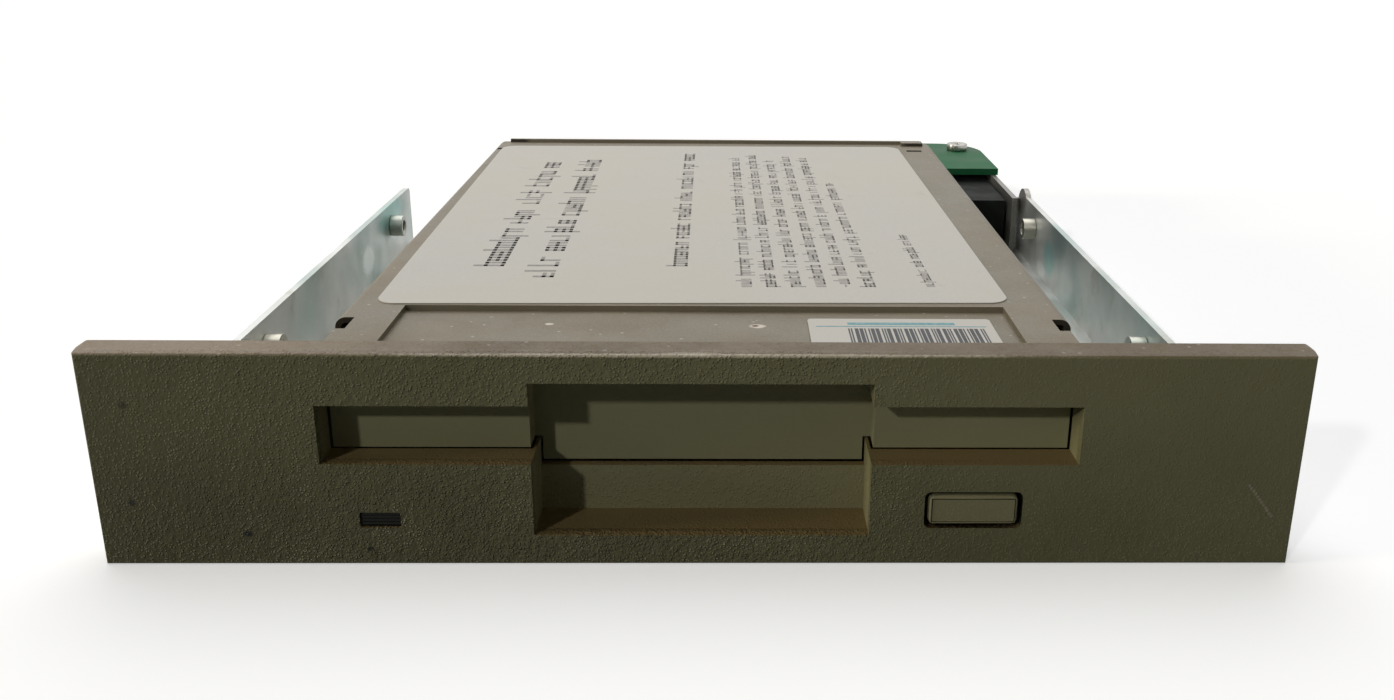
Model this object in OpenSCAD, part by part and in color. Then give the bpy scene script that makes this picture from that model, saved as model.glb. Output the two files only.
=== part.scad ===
// Floppy disk drive for 90 mm disks, in a wide front bezel with two side brackets.
// Millimetres, +X right, +Y to the rear, +Z up.
// Places are written from the bezel's front face (y = 0), bottom (z = 0) and centre line (x = 0).

/* [Bezel] */
// How far the bezel stands past the brackets on each side
bezel_lip = 1.7; // [0.5:0.1:3]
// Height of the bezel
bezel_h = 28.2; // [27:0.1:32]
// Thickness of the bezel plate
bezel_d = 4.8; // [4:0.1:5.4]
// Rounding of the bezel's corners
bezel_r = 1; // [0.6:0.1:1.6]
// Rounding of the bezel's front edges
bezel_edge = 0.4; // [0.2:0.1:1]
// Widening of each side of the bezel towards the rear
bezel_draft = 1.1; // [0:0.1:1.4]
// Height of the slot's floor
slot_z = 13.8; // [13.4:0.1:14.4]
// Height of the slot
slot_h = 7.75; // [7.4:0.05:8.2]
// Width of the thumb notch
notch_w = 42; // [30:0.5:50]
// Height of the thumb notch's floor
notch_z = 4.1; // [3.4:0.1:5]
// Height of the thumb notch's top edge
notch_top = 24.5; // [24.2:0.1:25.5]
// Depth of the thumb notch below the slot
notch_depth = 7.4; // [6.6:0.1:7.6]
// Wall of the tub behind the thumb notch
tub_wall = 1.2; // [0.8:0.1:1.4]

/* [Flap] */
// Thickness of the flap
flap_t = 1.4; // [1:0.1:1.6]
// Depth of the flap's middle behind the front face
flap_mid_y = 8.4; // [8.2:0.1:8.8]
// Radius of the flap's hinge pins
flap_pin_r = 1; // [0.8:0.05:1.1]
// Gap between the flap's bottom edge and the tub
flap_gap = 0.4; // [0.3:0.05:0.6]

/* [Button and lamp] */
// Place of the button's centre to the right of the centre line
button_x = 34; // [30:0.5:38]
// Height of the button's centre
button_z = 7.6; // [7:0.1:8.2]
// Width of the button
button_w = 11.2; // [8:0.1:13]
// Height of the button
button_h = 3.9; // [3.4:0.1:4.6]
// Rounding of the button's opening
button_r = 0.8; // [0.4:0.1:1]
// Gap around the button
button_gap = 0.55; // [0.3:0.05:0.6]
// Place of the lamp's centre
lamp_x = -40; // [-42:0.5:-32]
// Height of the lamp's centre
lamp_z = 6.2; // [5.6:0.1:7]
// Width of the lamp window
lamp_w = 5.1; // [3:0.1:6]
// Height of the lamp window
lamp_h = 2.1; // [1.5:0.1:3]

/* [Disk] */
// Width of a disk
disk_w = 90; // [86:0.5:92]
// Thickness of a disk
disk_t = 3.3; // [3:0.1:3.4]
// How far a disk drops when it loads
disk_drop = 2.5; // [2:0.1:2.8]

/* [Drive] */
// Height of the cover's top
cover_z = 25.1; // [24.8:0.1:26]
// Sheet of the cover
cover_t = 0.8; // [0.6:0.05:0.9]
// Bend radius of the cover's edges
cover_r = 1.6; // [1.2:0.1:2.4]
// Half width of the cover's sunk front panel
panel_x = 42.4; // [36:0.2:43]
// Rear end of the sunk front panel
panel_y = 28.5; // [26:0.5:30]
// Depth of the sunk front panel
panel_drop = 0.65; // [0.5:0.05:1.3]
// Sheet of the chassis
chassis_t = 1.2; // [1:0.05:1.4]
// Height of the chassis deck's underside
deck_z = 6; // [5.8:0.05:6.1]
// Place of the spindle behind the front face
spindle_y = 64; // [63:0.5:65]

/* [Brackets] */
// Width across the two brackets, the bay's device width
bay_w = 146; // [142:0.25:147]
// Height of the bracket's outer wall
bracket_h = 14.8; // [14.2:0.1:16]
// Sheet of the brackets
bracket_t = 1.2; // [0.8:0.1:1.5]
// Rear end of the left bracket and of the right outer wall
bracket_y = 149; // [140:0.5:150]
// Front mounting hole behind the front face
hole_y = 52.2; // [44:0.1:58]
// Distance between the two mounting holes of a side
hole_pitch = 79.25; // [70:0.05:84]
// Height of the mounting holes
hole_z = 10; // [9.5:0.1:10.4]
// Radius of the tapped mounting holes
hole_r = 1.25; // [1:0.05:1.6]
// Radius of the press nuts
nut_r = 2.3; // [2.2:0.1:3.4]
// Length of the press nuts inside the wall
nut_l = 2.8; // [2:0.1:7]

/* [Mechanism] */
// Travel of the eject slide
slide_travel = 6; // [5:0.5:6]
// Travel of the head carriage
head_travel = 14.8; // [13:0.1:15]
// Travel of the lead screw's groove in one turn
screw_lead = 3.75; // [3.25:0.25:4.5]
// Radius of the lead screw
screw_r = 2; // [1.8:0.1:2.2]
// Radius of the guide rods
rod_r = 1.2; // [1:0.05:1.3]
// Distance of the guide rods from the centre line
rod_x = 15; // [14:0.5:16]
// Radius of the rotor
rotor_r = 24; // [20:0.5:25]
// Radius of the spindle shaft
shaft_r = 2; // [1.5:0.1:2.5]
// Radius of the hub
hub_r = 13; // [11:0.5:14]
// Radius of the stepper motor
stepper_r = 7.4; // [6.5:0.1:7.6]
// Number of motor coils
coil_count = 12; // [6:3:12]

/* [Labels] */
// Thickness of the labels
label_t = 0.15; // [0.1:0.01:0.2]
// Margin in front of and behind the large label
label_margin = 3.2; // [3:0.1:9]
// Width of the small label
code_w = 25.4; // [18:0.1:30]
// Depth of the small label
code_d = 10.3; // [6:0.1:14]
// Place of the small label's centre
code_x = 26.9; // [20:0.1:28]

/* [Boards] */
// Thickness of the boards
board_t = 1.2; // [1:0.1:1.4]
// Height of the boards' undersides in the drive
board_z = 2.2; // [2:0.1:2.3]
// Underside of the adapter board
adapter_z = 14.1; // [13.8:0.1:15]
// Thickness of the adapter board
adapter_t = 1.6; // [1.2:0.1:1.8]
// Rear edge of the adapter board, the depth of the whole object
adapter_y = 203.2; // [198:0.2:210]
// Length of the adapter board's free corner beside the cover
adapter_d = 33.7; // [29:0.1:37]

/* [Hidden] */
$fn = 48;
// Gap between pieces that are fixed to each other
seat = 0.02;
// Radial clearance of a running fit
run = 0.05;
// Gap between pieces that move past each other
gap = 0.3;
// Room that a cut adds past a face
over = 1;

// Sheets that stand side by side across the drive, from the disk outwards
sheet_t = 0.8;
bezel_w = bay_w + 2 * bezel_lip;
holder_in = disk_w / 2 + 0.6;
holder_out = holder_in + sheet_t;
slide_in = holder_out + 0.8;
slide_out = slide_in + sheet_t;
wall_in = slide_out + 0.7;
wall_out = wall_in + chassis_t;
cover_in = wall_out + 0.1;
cover_out = cover_in + cover_t;

// Slot, notch and flap
slot_x = disk_w / 2 + 1.8;
slot_top = slot_z + slot_h;
notch_x = notch_w / 2;
tub_y = notch_depth + tub_wall;
tub_top = 10.3;
flap_x = slot_x - 0.3;
flap_y = bezel_d + 0.1;
flap_low = slot_z + 0.15;
flap_mid_low = tub_top + flap_gap;
flap_mid_x = notch_x - gap;
tub_rim = 0.4;
flap_inner = notch_x + tub_rim + gap;
flap_rear = flap_mid_y + flap_t;
hinge_y = flap_mid_y + 0.2;
hinge_z = slot_top + 0.05;
flap_top = hinge_z + 0.4;
ear_in = flap_x + gap;
ear_wall = 1;
rib_h = 1.8;
spring_l = 2;
ear_out = wall_out - 0.1;
flap_pin_x = ear_out - 0.8;
lens_y0 = 0.35;
lens_y1 = bezel_d + 2.4;
led_x = 2;
led_z = 1.6;
lamp_r = 0.3;

// Levels of the disk and of what carries it
disk_z = slot_z + 0.5;
disk_low = disk_z - disk_drop;
media_z = disk_low + disk_t / 2;
lip_top = disk_z - 0.2;
lip_low = lip_top - sheet_t;
plate_low = disk_z + disk_t + 1;
plate_top = plate_low + sheet_t;
holder_y0 = flap_rear + 11.2;
holder_y1 = spindle_y + 42;
lip_w = 6.4;
pin_r = 1;
pin_z = (lip_low + plate_top) / 2 - 0.3;
pin_ys = [spindle_y - 30, spindle_y + 26];
slide_clear = 0.1;

// Deck and what stands on it
deck_top = deck_z + chassis_t;
deck_y0 = 12.4;
tongue_l = 4.6;
tongue_h = 3.6;
stem_x = 4;
stem_h = 2.6;
button_d = 3.6;
button_edge = 0.3;
wall_y0 = flap_rear + 2.2;
wall_top = 20.5;
wall_low = 0.8;
rotor_gap = 1.5;
flange_low = deck_top + gap;
flange_top = flange_low + sheet_t;
flange_x = slide_in - 3.7;
hook_w = 2.4;
hook_l = 3;
slide_y0 = holder_y0 + 3;
slide_y1 = pin_ys[1] + slide_travel + 4;
strip_y = 9;
hook_y1 = slide_y1 - 9;
coil_r = 1.1;

// Spindle
rotor_top = deck_top + 1.4;
rotor_low = board_z + board_t + 0.8;
rotor_t = 0.8;
hub_top = disk_low - 0.4;
bearing_r = 5;
drive_pin_r = 1.4;
drive_pin_x = hub_r - 3;

// Heads, carriage, rods and lead screw
head_y = spindle_y + 39.5;
rod_z = deck_top + 2.4;
rod_y0 = spindle_y + rotor_r + 4;
clamp_l = 3.5;
block_w = 6;
block_l = 19.5;
block_y0 = rod_y0 + clamp_l + 1.2 + head_travel;
block_y1 = block_y0 + block_l;
block_low = deck_top + 0.5;
block_top = disk_low - 0.4;
fork_l = 7;
flag_l = 13;
flag_d = 3;
flag_t = 0.8;
sensor_w = 8;
sensor_x = rod_x + flag_l - 5;
sensor_y = block_y1 - 5.5;
post_d = 3.3;
rod_y1 = block_y1 + 3.5 + clamp_l;
clamp_y1 = rod_y1 - clamp_l;
tongue_low = rotor_top + 0.4;
tongue_x = 9;
tongue_nose = 6;
pin_end = 2;
arm_pivot_y = block_y1 - fork_l / 2;
arm_pivot_z = media_z + 3;
arm_pin_r = 1;
arm_x = 5.7;
knuckle_r = 2;
arm_nose = 5.5;
arm_low = 0.6;
arm_high = 0.8;
follower_r = 0.5;
arm_lift = 12;
// The holder's window lets the arm travel with the carriage
window_x = 14;
window_y0 = head_y - arm_nose - head_travel - over;
head_w = 8;
screw_x = -24;
screw_z = deck_top + stepper_r + 0.3;
follower_y = block_y1 - post_d / 2;
screw_y0 = follower_y - head_travel - 2.2;
screw_y1 = rod_y1 + 1;
stepper_y0 = screw_y1 + 1;
stepper_l = 11;
stepper_y1 = stepper_y0 + stepper_l;
flange_half = 9;
flange_d = 1;
bearing_half = 3;
bearing_d = 2.4;
// The cover ends behind the stepper motor
rear_room = 1.5;
cover_y = stepper_y1 + rear_room;
wall_y1 = cover_y - cover_t - 1.7;
cover_screw_y = cover_y - 12.5;
cover_screw_z = 17;
cover_screw_head_r = 2.2;
cover_screw_head_l = 1.3;
journal_r = 1;
bearing_y0 = screw_y0 - bearing_d - 0.6;
post_x = screw_x + screw_r + 1.2;

// Latch lever
latch_at = [-(flange_x - 0.5), holder_y1 + 10];
latch_tip = [10, -15];
latch_z = flange_top + 0.7;
latch_t = 1.4;
latch_hub_r = 4;
latch_half = 1.6;
pivot_r = 1.5;
pivot_seat_r = 3;
pivot_head = 0.8;
latch_coil_l = 2;

// Switches
switch_x0 = -(flange_x - 0.5);
switch_w = 9;
switch_y0 = spindle_y - 24;
switch_pitch = 6;
switch_top = lip_low - disk_drop - 0.4;
plunger_r = 1.1;
plunger_x = -(holder_out - 7.9);
plunger_top = disk_low + 1.2;
plunger_travel = 2;
plunger_l = 3.2;
bore_low = plunger_top - plunger_l - plunger_travel - gap;

// Brackets
bay_x = bay_w / 2;
rail_in = wall_out;
rail_flange_top = 10;
skirt_low = rail_flange_top + 1;
rail_y0 = bezel_d;
nut_shank_r = 1.9;
arm_step = 2.5;
arm_wall_x = bay_x - arm_step - bracket_t;
tab_l = 8;
tab_d = 14;
tab_x = [arm_wall_x - tab_l, arm_wall_x + seat];
arm_rear = adapter_y - 3;
tab_y = [arm_rear - tab_d, arm_rear];
side_screw_ys = [26, 96];
side_screw_z = 4.4;
screw_shank_r = 1.2;
screw_head_r = 2.7;
screw_head_l = 1.8;
tap_r = screw_shank_r + run;

// Boards and connectors at the rear
board_top = board_z + board_t;
logic_x = wall_in - 1.7;
logic_y0 = rod_y0 + 2;
motor_board_x = 34;
motor_board_y = 30;
boss_r = 2.5;
board_screw_r = 1;
board_screw_l = 4;
board_head_r = 2;
board_head_l = 1;
boss_xs = [motor_board_x - 4, logic_x - 4];
boss_ys = [spindle_y - motor_board_y + 4, logic_y0 + 3.5];
header_x0 = -4;
header_x1 = 46;
header_l = 9;
header_h = 8.8;
header_top = board_top + header_h;
plug_x0 = -44;
plug_x1 = -33;
plug_top = board_top + 5.6;
// Chips on the logic board: centre, width, depth and height
chips = [
    [16, 8, 14, 14, 1.9],
    [-12, 10, 10, 10, 1.9],
    [34, 12, 8, 5, 1.6],
    [-34, 18, 12, 6, 2],
    [2, 28, 6, 4, 1.2]
];
pin_pitch = 2.54;
pin_side = 0.64;
adapter_x0 = header_x0 - 2;
adapter_x1 = bay_x - 2;
adapter_step_x = cover_out + 1.5;
adapter_front = adapter_y - adapter_d;
adapter_y0 = cover_y + 2.5;
socket_l = 8;
inlet_low = 1.6;
inlet_gap = 0.6;
board_r = 11;
adapter_screw_at = [adapter_x1 - 6.3, adapter_y - 9.2];

// Labels on the cover
label_x = -2.4;
label_turn = 0.8;
label_shift = 2.2;
label_w = disk_w + 0.8;
label_r = 3;
code_r = 0.6;
code_y = panel_y - 3.9 - code_d / 2;

// The object's depth and the place of its middle
depth = adapter_y;

// A pair of values on both sides of a middle
function about(middle, half) = [middle - half, middle + half];

// A block between two values on each axis
module block(x, y, z) {
    translate([x[0], y[0], z[0]])
        cube([x[1] - x[0], y[1] - y[0], z[1] - z[0]]);
}

// Round bars along each axis
module bar_x(r, x, y, z) {
    translate([x[0], y, z])
        rotate([0, 90, 0])
            cylinder(r = r, h = x[1] - x[0]);
}
module bar_y(r, x, y, z) {
    translate([x, y[0], z])
        rotate([-90, 0, 0])
            cylinder(r = r, h = y[1] - y[0]);
}
module bar_z(r, x, y, z) {
    translate([x, y, z[0]])
        cylinder(r = r, h = z[1] - z[0]);
}

// The same shape on the right and on the left
module both() {
    children();
    mirror([1, 0, 0])
        children();
}

// A flat outline with rounded corners
module round_rect(w, h, r) {
    square([w - 2 * r, h], center = true);
    square([w, h - 2 * r], center = true);
    for (sx = [-1, 1], sy = [-1, 1])
        translate([sx * (w / 2 - r), sy * (h / 2 - r)])
            circle(r = r);
}

// An outline with its two front corners rounded, from depth 0 to d
module front_rounded(w, d, r) {
    translate([-w / 2, r])
        square([w, d - r]);
    translate([-w / 2 + r, 0])
        square([w - 2 * r, d]);
    for (sx = [-1, 1])
        translate([sx * (w / 2 - r), r])
            circle(r = r);
}

// An outline drawn in X and Z, carried along Y
module along_y(y) {
    translate([0, y[1], 0])
        rotate([90, 0, 0])
            linear_extrude(y[1] - y[0])
                children();
}

// A plate that stands on its lower edge, with rounded corners r, front edges e and sides that widen by draft
module front_plate(w, h, d, r, e, draft = 0) {
    inner = w / 2 - e;
    intersection() {
        translate([0, 0, h / 2])
            along_y([0, d])
                round_rect(w + 2 * draft, h, r);
        linear_extrude(h) {
            front_rounded(w, d, e);
            for (sx = [-1, 1])
                polygon([[sx * inner, e], [sx * w / 2, e], [sx * (w / 2 + draft), d], [sx * inner, d]]);
        }
        translate([0, 0, h / 2])
            rotate([90, 0, 90])
                linear_extrude(w + 2 * draft, center = true)
                    rotate(90)
                        mirror([0, 1])
                            front_rounded(h, d, e);
    }
}

// A pan head screw that points along -Z, with its head's seat at z = 0
module pan_screw(shank_r, shank_l, head_r, head_l) {
    translate([0, 0, -shank_l])
        cylinder(r = shank_r, h = shank_l + seat);
    difference() {
        cylinder(r = head_r, h = head_l);
        for (turn = [0, 90])
            rotate(turn)
                translate([-head_r * 0.65, -0.3, head_l * 0.5])
                    cube([head_r * 1.3, 0.6, head_l]);
    }
}

module bezel() color([0.30, 0.30, 0.22]) {
    difference() {
        front_plate(bezel_w, bezel_h, bezel_d, bezel_r, bezel_edge, bezel_draft);
        block([-slot_x, slot_x], [-over, bezel_d + over], [slot_z, slot_top]);
        block([-notch_x, notch_x], [-over, bezel_d + over], [notch_z, notch_top]);
        translate([button_x, 0, button_z])
            along_y([-over, bezel_d + over])
                round_rect(button_w + 2 * button_gap, button_h + 2 * button_gap, button_r);
        translate([lamp_x, 0, lamp_z])
            along_y([-over, bezel_d + over])
                round_rect(lamp_w, lamp_h, lamp_r);
    }
    // Tub behind the thumb notch
    tub_x = notch_x + tub_wall;
    difference() {
        block([-tub_x, tub_x], [bezel_d, tub_y], [notch_z - tub_wall, slot_z - 1]);
        block([-notch_x, notch_x], [bezel_d - over, notch_depth], [notch_z, slot_z]);
        block([-notch_x, notch_x], [bezel_d - over, tub_y + over], [tub_top, slot_z]);
    }
    // Thin rims on the tub's sides, up to the slot's floor
    both() block([notch_x, notch_x + tub_rim], [bezel_d - seat, tub_y], [tub_top, slot_z - 0.05]);
    // Ears that carry the flap's pins
    both() difference() {
        block([ear_in, ear_out], [bezel_d, hinge_y + flap_pin_r + ear_wall],
            about(hinge_z, flap_pin_r + ear_wall));
        bar_x(flap_pin_r + run, [ear_in - over, ear_out + over], hinge_y, hinge_z);
    }
    // Tongues that seat on the chassis deck
    both() block([slide_in - 1, wall_in - seat], [bezel_d, deck_y0 + tongue_l],
        [deck_top, deck_top + tongue_h]);
}

module slot_flap() color([0.27, 0.27, 0.20]) {
    // Two side leaves in the slot
    both() block([flap_inner, flap_x], [flap_y, flap_y + flap_t], [flap_low, hinge_z - 0.1]);
    // Middle leaf in the thumb notch
    block([-flap_mid_x, flap_mid_x], [flap_mid_y, flap_rear], [flap_mid_low, flap_top]);
    // Steps that join the leaves beside the notch, and end ribs with the hinge pins
    step_x = flap_inner + flap_t;
    both() block([flap_inner, step_x], [flap_y, flap_rear], [flap_low, hinge_z - 0.1]);
    block([-step_x, step_x], [flap_mid_y, flap_rear], [flap_low, hinge_z - 0.1]);
    both() block([flap_x - flap_t, flap_x], [flap_y, flap_rear], [hinge_z - rib_h, hinge_z - 0.1]);
    both() bar_x(flap_pin_r, [flap_x - flap_t - spring_l - gap, flap_pin_x], hinge_y, hinge_z);
}

module flap_spring() color([0.75, 0.75, 0.72]) {
    difference() {
        bar_x(flap_pin_r + 0.5, [flap_x - flap_t - spring_l, flap_x - flap_t - gap], hinge_y, hinge_z);
        bar_x(flap_pin_r + 0.1, [flap_x - flap_t - spring_l - over, flap_x], hinge_y, hinge_z);
    }
}

module eject_button() color([0.33, 0.33, 0.25]) {
    translate([button_x, 0, button_z - button_h / 2])
        front_plate(button_w, button_h, button_d, button_r - 0.1, button_edge);
    block(about(button_x, stem_x), [button_d - seat, deck_y0 - 0.4], about(button_z, stem_h / 2));
}

module led_lens() color([0.16, 0.16, 0.15]) {
    translate([lamp_x, 0, lamp_z])
        along_y([lens_y0, lens_y1])
            round_rect(lamp_w - 2 * seat, lamp_h - 2 * seat, lamp_r - seat);
}

module activity_led() color([0.55, 0.75, 0.35]) {
    block(about(lamp_x, led_x), [lens_y1 + seat, deck_y0 - seat], about(lamp_z, led_z));
}

// The bent sheet of the cover, as an outline in X and Z
module cover_outline(x, top, r) {
    translate([-x, skirt_low])
        square([2 * x, top - r - skirt_low]);
    translate([-x + r, skirt_low])
        square([2 * (x - r), top - skirt_low]);
    for (sx = [-1, 1])
        translate([sx * (x - r), top - r])
            circle(r = r);
}

module top_cover() color([0.55, 0.52, 0.45]) {
    y0 = bezel_d + 0.7;
    inner = cover_z - cover_t;
    step_y = 18.3;
    step_l = 4.7;
    rear_slot_y = [cover_y - 9.6, cover_y - 8];
    right_slot_x = [cover_out - 6.9, cover_out - 3.4];
    left_slot_x = [-cover_out + 1, -cover_out + 2.6];
    lip_h = 0.7;
    lip_x = cover_in - 2;
    tongue_tip_x = [cover_out - 7.4, cover_out - 2.4];
    tongue_tip_h = 0.7;
    rear_skirt_z = 15;
    difference() {
        along_y([y0, cover_y])
            difference() {
                cover_outline(cover_out, cover_z, cover_r);
                translate([0, -over])
                    cover_outline(cover_in, inner + over, cover_r - cover_t);
                translate([0, skirt_low - over])
                    square([2 * cover_in, 2 * over + 1], center = true);
            }
        block([-panel_x, panel_x], [y0 - over, panel_y], [inner - over, cover_z + over]);
        // Narrow front, with an open lance behind it on each side
        both() block([cover_in - 0.6, cover_out + over], [y0 - over, step_y], [0, cover_z + over]);
        both() block([cover_in - 2, cover_out + over], [step_y, step_y + step_l],
            [inner - 2, cover_z + over]);
        // Slots near the rear corners
        for (slot_x = [left_slot_x, right_slot_x])
            block(slot_x, rear_slot_y, [inner - over, cover_z + over]);
        // Holes for the side screws
        both() bar_x(tap_r, [cover_in - over, cover_out + over], cover_screw_y, cover_screw_z);
    }
    // Sunk front panel with its rim
    difference() {
        block([-panel_x - cover_t, panel_x + cover_t], [y0, panel_y + cover_t],
            [inner - panel_drop, inner]);
        block([-panel_x, panel_x], [y0 - over, panel_y], [cover_z - panel_drop, cover_z]);
    }
    // Rear skirt
    block([-cover_in, cover_in], [cover_y - cover_t, cover_y], [rear_skirt_z, inner + seat]);
    // Raised lip along the rear edge, and a tongue at its right end
    block([-lip_x, lip_x], [cover_y - cover_t, cover_y], [cover_z - seat, cover_z + lip_h]);
    block(tongue_tip_x, [cover_y - 3, cover_y - 0.4], [cover_z - seat, cover_z + tongue_tip_h]);
}

module cover_label() color([0.78, 0.76, 0.72]) {
    translate([label_x, (panel_y + cover_y) / 2 - label_shift, cover_z])
        rotate(label_turn)
            linear_extrude(label_t)
                round_rect(label_w, cover_y - panel_y - 2 * label_margin, label_r);
}

module barcode_label() color([0.80, 0.78, 0.74]) {
    translate([code_x, code_y, cover_z - panel_drop])
        linear_extrude(label_t)
            round_rect(code_w, code_d, code_r);
}

module cover_screws() color([0.7, 0.7, 0.68]) {
    both() translate([cover_out, cover_screw_y, cover_screw_z])
        rotate([0, 90, 0])
            pan_screw(screw_shank_r, cover_out - wall_in, cover_screw_head_r, cover_screw_head_l);
}

module chassis() color([0.62, 0.62, 0.60]) {
    difference() {
        union() {
            block([-wall_out, wall_out], [deck_y0, wall_y1], [deck_z, deck_top]);
            both() block([wall_in, wall_out], [wall_y0, wall_y1], [wall_low, wall_top]);
            // Bosses that carry the boards
            both() for (i = [0, 1])
                bar_z(boss_r, boss_xs[i], boss_ys[i], [board_top, deck_z + seat]);
            both() bar_z(boss_r, boss_xs[0], 2 * spindle_y - boss_ys[0], [board_top, deck_z + seat]);
        }
        // Opening for the rotor
        bar_z(rotor_r + rotor_gap, 0, spindle_y, [deck_z - over, deck_top + over]);
        // Upright slots for the holder's pins
        both() for (y = pin_ys)
            block([wall_in - over, wall_out + over], [y - pin_r - slide_clear, y + pin_r + slide_clear],
                [pin_z - disk_drop - pin_r - slide_clear, wall_top + over]);
        // Room for the connectors at the rear
        block([header_x0 - 0.5, header_x1 + 0.5], [cover_y - header_l - 1, cover_y],
            [deck_z - over, deck_top + over]);
        block([plug_x0 - 0.5, plug_x1 + 0.5], [cover_y - 12, cover_y], [deck_z - over, deck_top + over]);
        // Passage for the flat head cable
        block([1.5, 10.5], [rod_y1 - 0.5, rod_y1 + 2], [deck_z - over, deck_top + over]);
        // Tapped holes
        both() for (y = side_screw_ys)
            bar_x(tap_r, [wall_in - over, wall_out + over], y, side_screw_z);
        both() bar_x(tap_r, [wall_in - over, wall_out + over], cover_screw_y, cover_screw_z);
        both() for (i = [0, 1])
            bar_z(board_screw_r + run, boss_xs[i], boss_ys[i], [0, deck_top + over]);
        both() bar_z(board_screw_r + run, boss_xs[0], 2 * spindle_y - boss_ys[0], [0, deck_top + over]);
    }
}

// One side rail: floor, outer wall with a rounded rear corner, and inner flange, drawn on the right
module side_rail(corner_r) {
    difference() {
        union() {
            block([rail_in, bay_x], [rail_y0, bracket_y], [0, bracket_t]);
            block([bay_x - bracket_t, bay_x], [rail_y0, bracket_y], [0, bracket_h]);
            block([rail_in, rail_in + bracket_t], [rail_y0 + 10, bracket_y - 6], [0, rail_flange_top]);
        }
        for (y = side_screw_ys)
            bar_x(tap_r, [rail_in - over, rail_in + bracket_t + over], y, side_screw_z);
        for (i = [0, 1])
            bar_x(nut_shank_r + seat, [bay_x - bracket_t - over, bay_x + over], hole_y + i * hole_pitch,
                hole_z);
        // Rounded rear corner
        translate([bay_x - bracket_t - over, bracket_y - corner_r, bracket_h - corner_r])
            difference() {
                cube([bracket_t + 2 * over, corner_r + over, corner_r + over]);
                rotate([0, 90, 0])
                    cylinder(r = corner_r, h = bracket_t + 2 * over);
            }
    }
}

module left_bracket() color([0.55, 0.56, 0.55]) {
    mirror([1, 0, 0])
        side_rail(1.2);
}

module right_bracket() color([0.55, 0.56, 0.55]) {
    ear_r = 4.5;
    side_rail(3);
    // Rounded ear on the rear of the outer wall
    bar_x(ear_r, [bay_x - bracket_t, bay_x], bracket_y - ear_r, bracket_h + 1.4 - ear_r);
    // Rear arm that carries the adapter board
    arm_y0 = bracket_y - 12;
    tab_z = [adapter_z - bracket_t, adapter_z - seat];
    difference() {
        union() {
            block([rail_in + 2, arm_wall_x + bracket_t], [arm_y0, arm_rear], [0, bracket_t]);
            block([arm_wall_x, arm_wall_x + bracket_t], [bracket_y - 5, arm_rear], [0, adapter_z - seat]);
            block(tab_x, tab_y, tab_z);
        }
        bar_z(tap_r, adapter_screw_at[0], adapter_screw_at[1], [tab_z[0] - over, tab_z[1] + over]);
    }
}

module press_nuts() {
    for (i = [0, 1])
        difference() {
            union() {
                bar_x(nut_r, [bay_x - bracket_t - nut_l, bay_x - bracket_t - seat],
                    hole_y + i * hole_pitch, hole_z);
                bar_x(nut_shank_r, [bay_x - bracket_t - 2 * seat, bay_x], hole_y + i * hole_pitch,
                    hole_z);
            }
            bar_x(hole_r, [bay_x - bracket_t - nut_l - over, bay_x + over], hole_y + i * hole_pitch,
                hole_z);
        }
}

module left_press_nuts() color([0.74, 0.74, 0.70]) {
    mirror([1, 0, 0])
        press_nuts();
}

module right_press_nuts() color([0.74, 0.74, 0.70]) {
    press_nuts();
}

module bracket_screws() color([0.7, 0.7, 0.68]) {
    both() for (y = side_screw_ys)
        translate([rail_in + bracket_t, y, side_screw_z])
            rotate([0, 90, 0])
                pan_screw(screw_shank_r, rail_in + bracket_t - wall_in, screw_head_r, screw_head_l);
}

module disk_holder() color([0.66, 0.66, 0.64]) {
    difference() {
        union() {
            block([-holder_out, holder_out], [holder_y0, holder_y1], [plate_low, plate_top]);
            both() block([holder_in, holder_out], [holder_y0, holder_y1], [lip_low, plate_top]);
            both() block([holder_out - lip_w, holder_out], [holder_y0, holder_y1], [lip_low, lip_top]);
            both() for (y = pin_ys)
                bar_x(pin_r, [holder_in, wall_out - 0.2], y, pin_z);
        }
        // Window for the head arm, and a round opening over the hub
        block(about(0, window_x), [window_y0, holder_y1 + over], [plate_low - over, plate_top + over]);
        bar_z(hub_r + 2, 0, spindle_y, [plate_low - over, plate_top + over]);
        both() block([-holder_in, holder_in], [holder_y0 - over, holder_y1 + over], [lip_top, plate_low]);
    }
}

module slide_plate() color([0.70, 0.70, 0.68]) {
    difference() {
        union() {
            both() block([slide_in, slide_out], [slide_y0, slide_y1], [flange_low, plate_top - 0.4]);
            both() block([flange_x, slide_out], [slide_y0, slide_y1], [flange_low, flange_top]);
            block([-slide_out, slide_out], [slide_y0, slide_y0 + strip_y], [flange_low, flange_top]);
            block(about(button_x, stem_x), [deck_y0 - 0.4 + seat, slide_y0 + over],
                [flange_low, flange_top]);
            // Hooks for the two springs
            both() block([flange_x - hook_w, flange_x + over], [hook_y1 - hook_l, hook_y1],
                [flange_low, flange_top]);
        }
        // Sloping slots for the holder's pins
        both() for (y = pin_ys)
            cam_slot(y);
    }
}

// A slot that runs back and down from a pin's place at rest
module cam_slot(y) {
    slot_r = pin_r + slide_clear;
    run_l = sqrt(slide_travel * slide_travel + disk_drop * disk_drop);
    x = [slide_in - over, slide_out + over];
    translate([0, y, pin_z])
        rotate([-atan2(disk_drop, slide_travel), 0, 0]) {
            bar_x(slot_r, x, 0, 0);
            bar_x(slot_r, x, run_l, 0);
            block(x, [0, run_l], [-slot_r, slot_r]);
        }
}

// A slide spring lies beside its hook, on the deck
module slide_spring() {
    bar_y(coil_r, flange_x - hook_w - gap - coil_r, [spindle_y + 4, hook_y1], deck_top + coil_r + seat);
}

module left_slide_spring() color([0.72, 0.72, 0.70]) {
    mirror([1, 0, 0])
        slide_spring();
}

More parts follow.
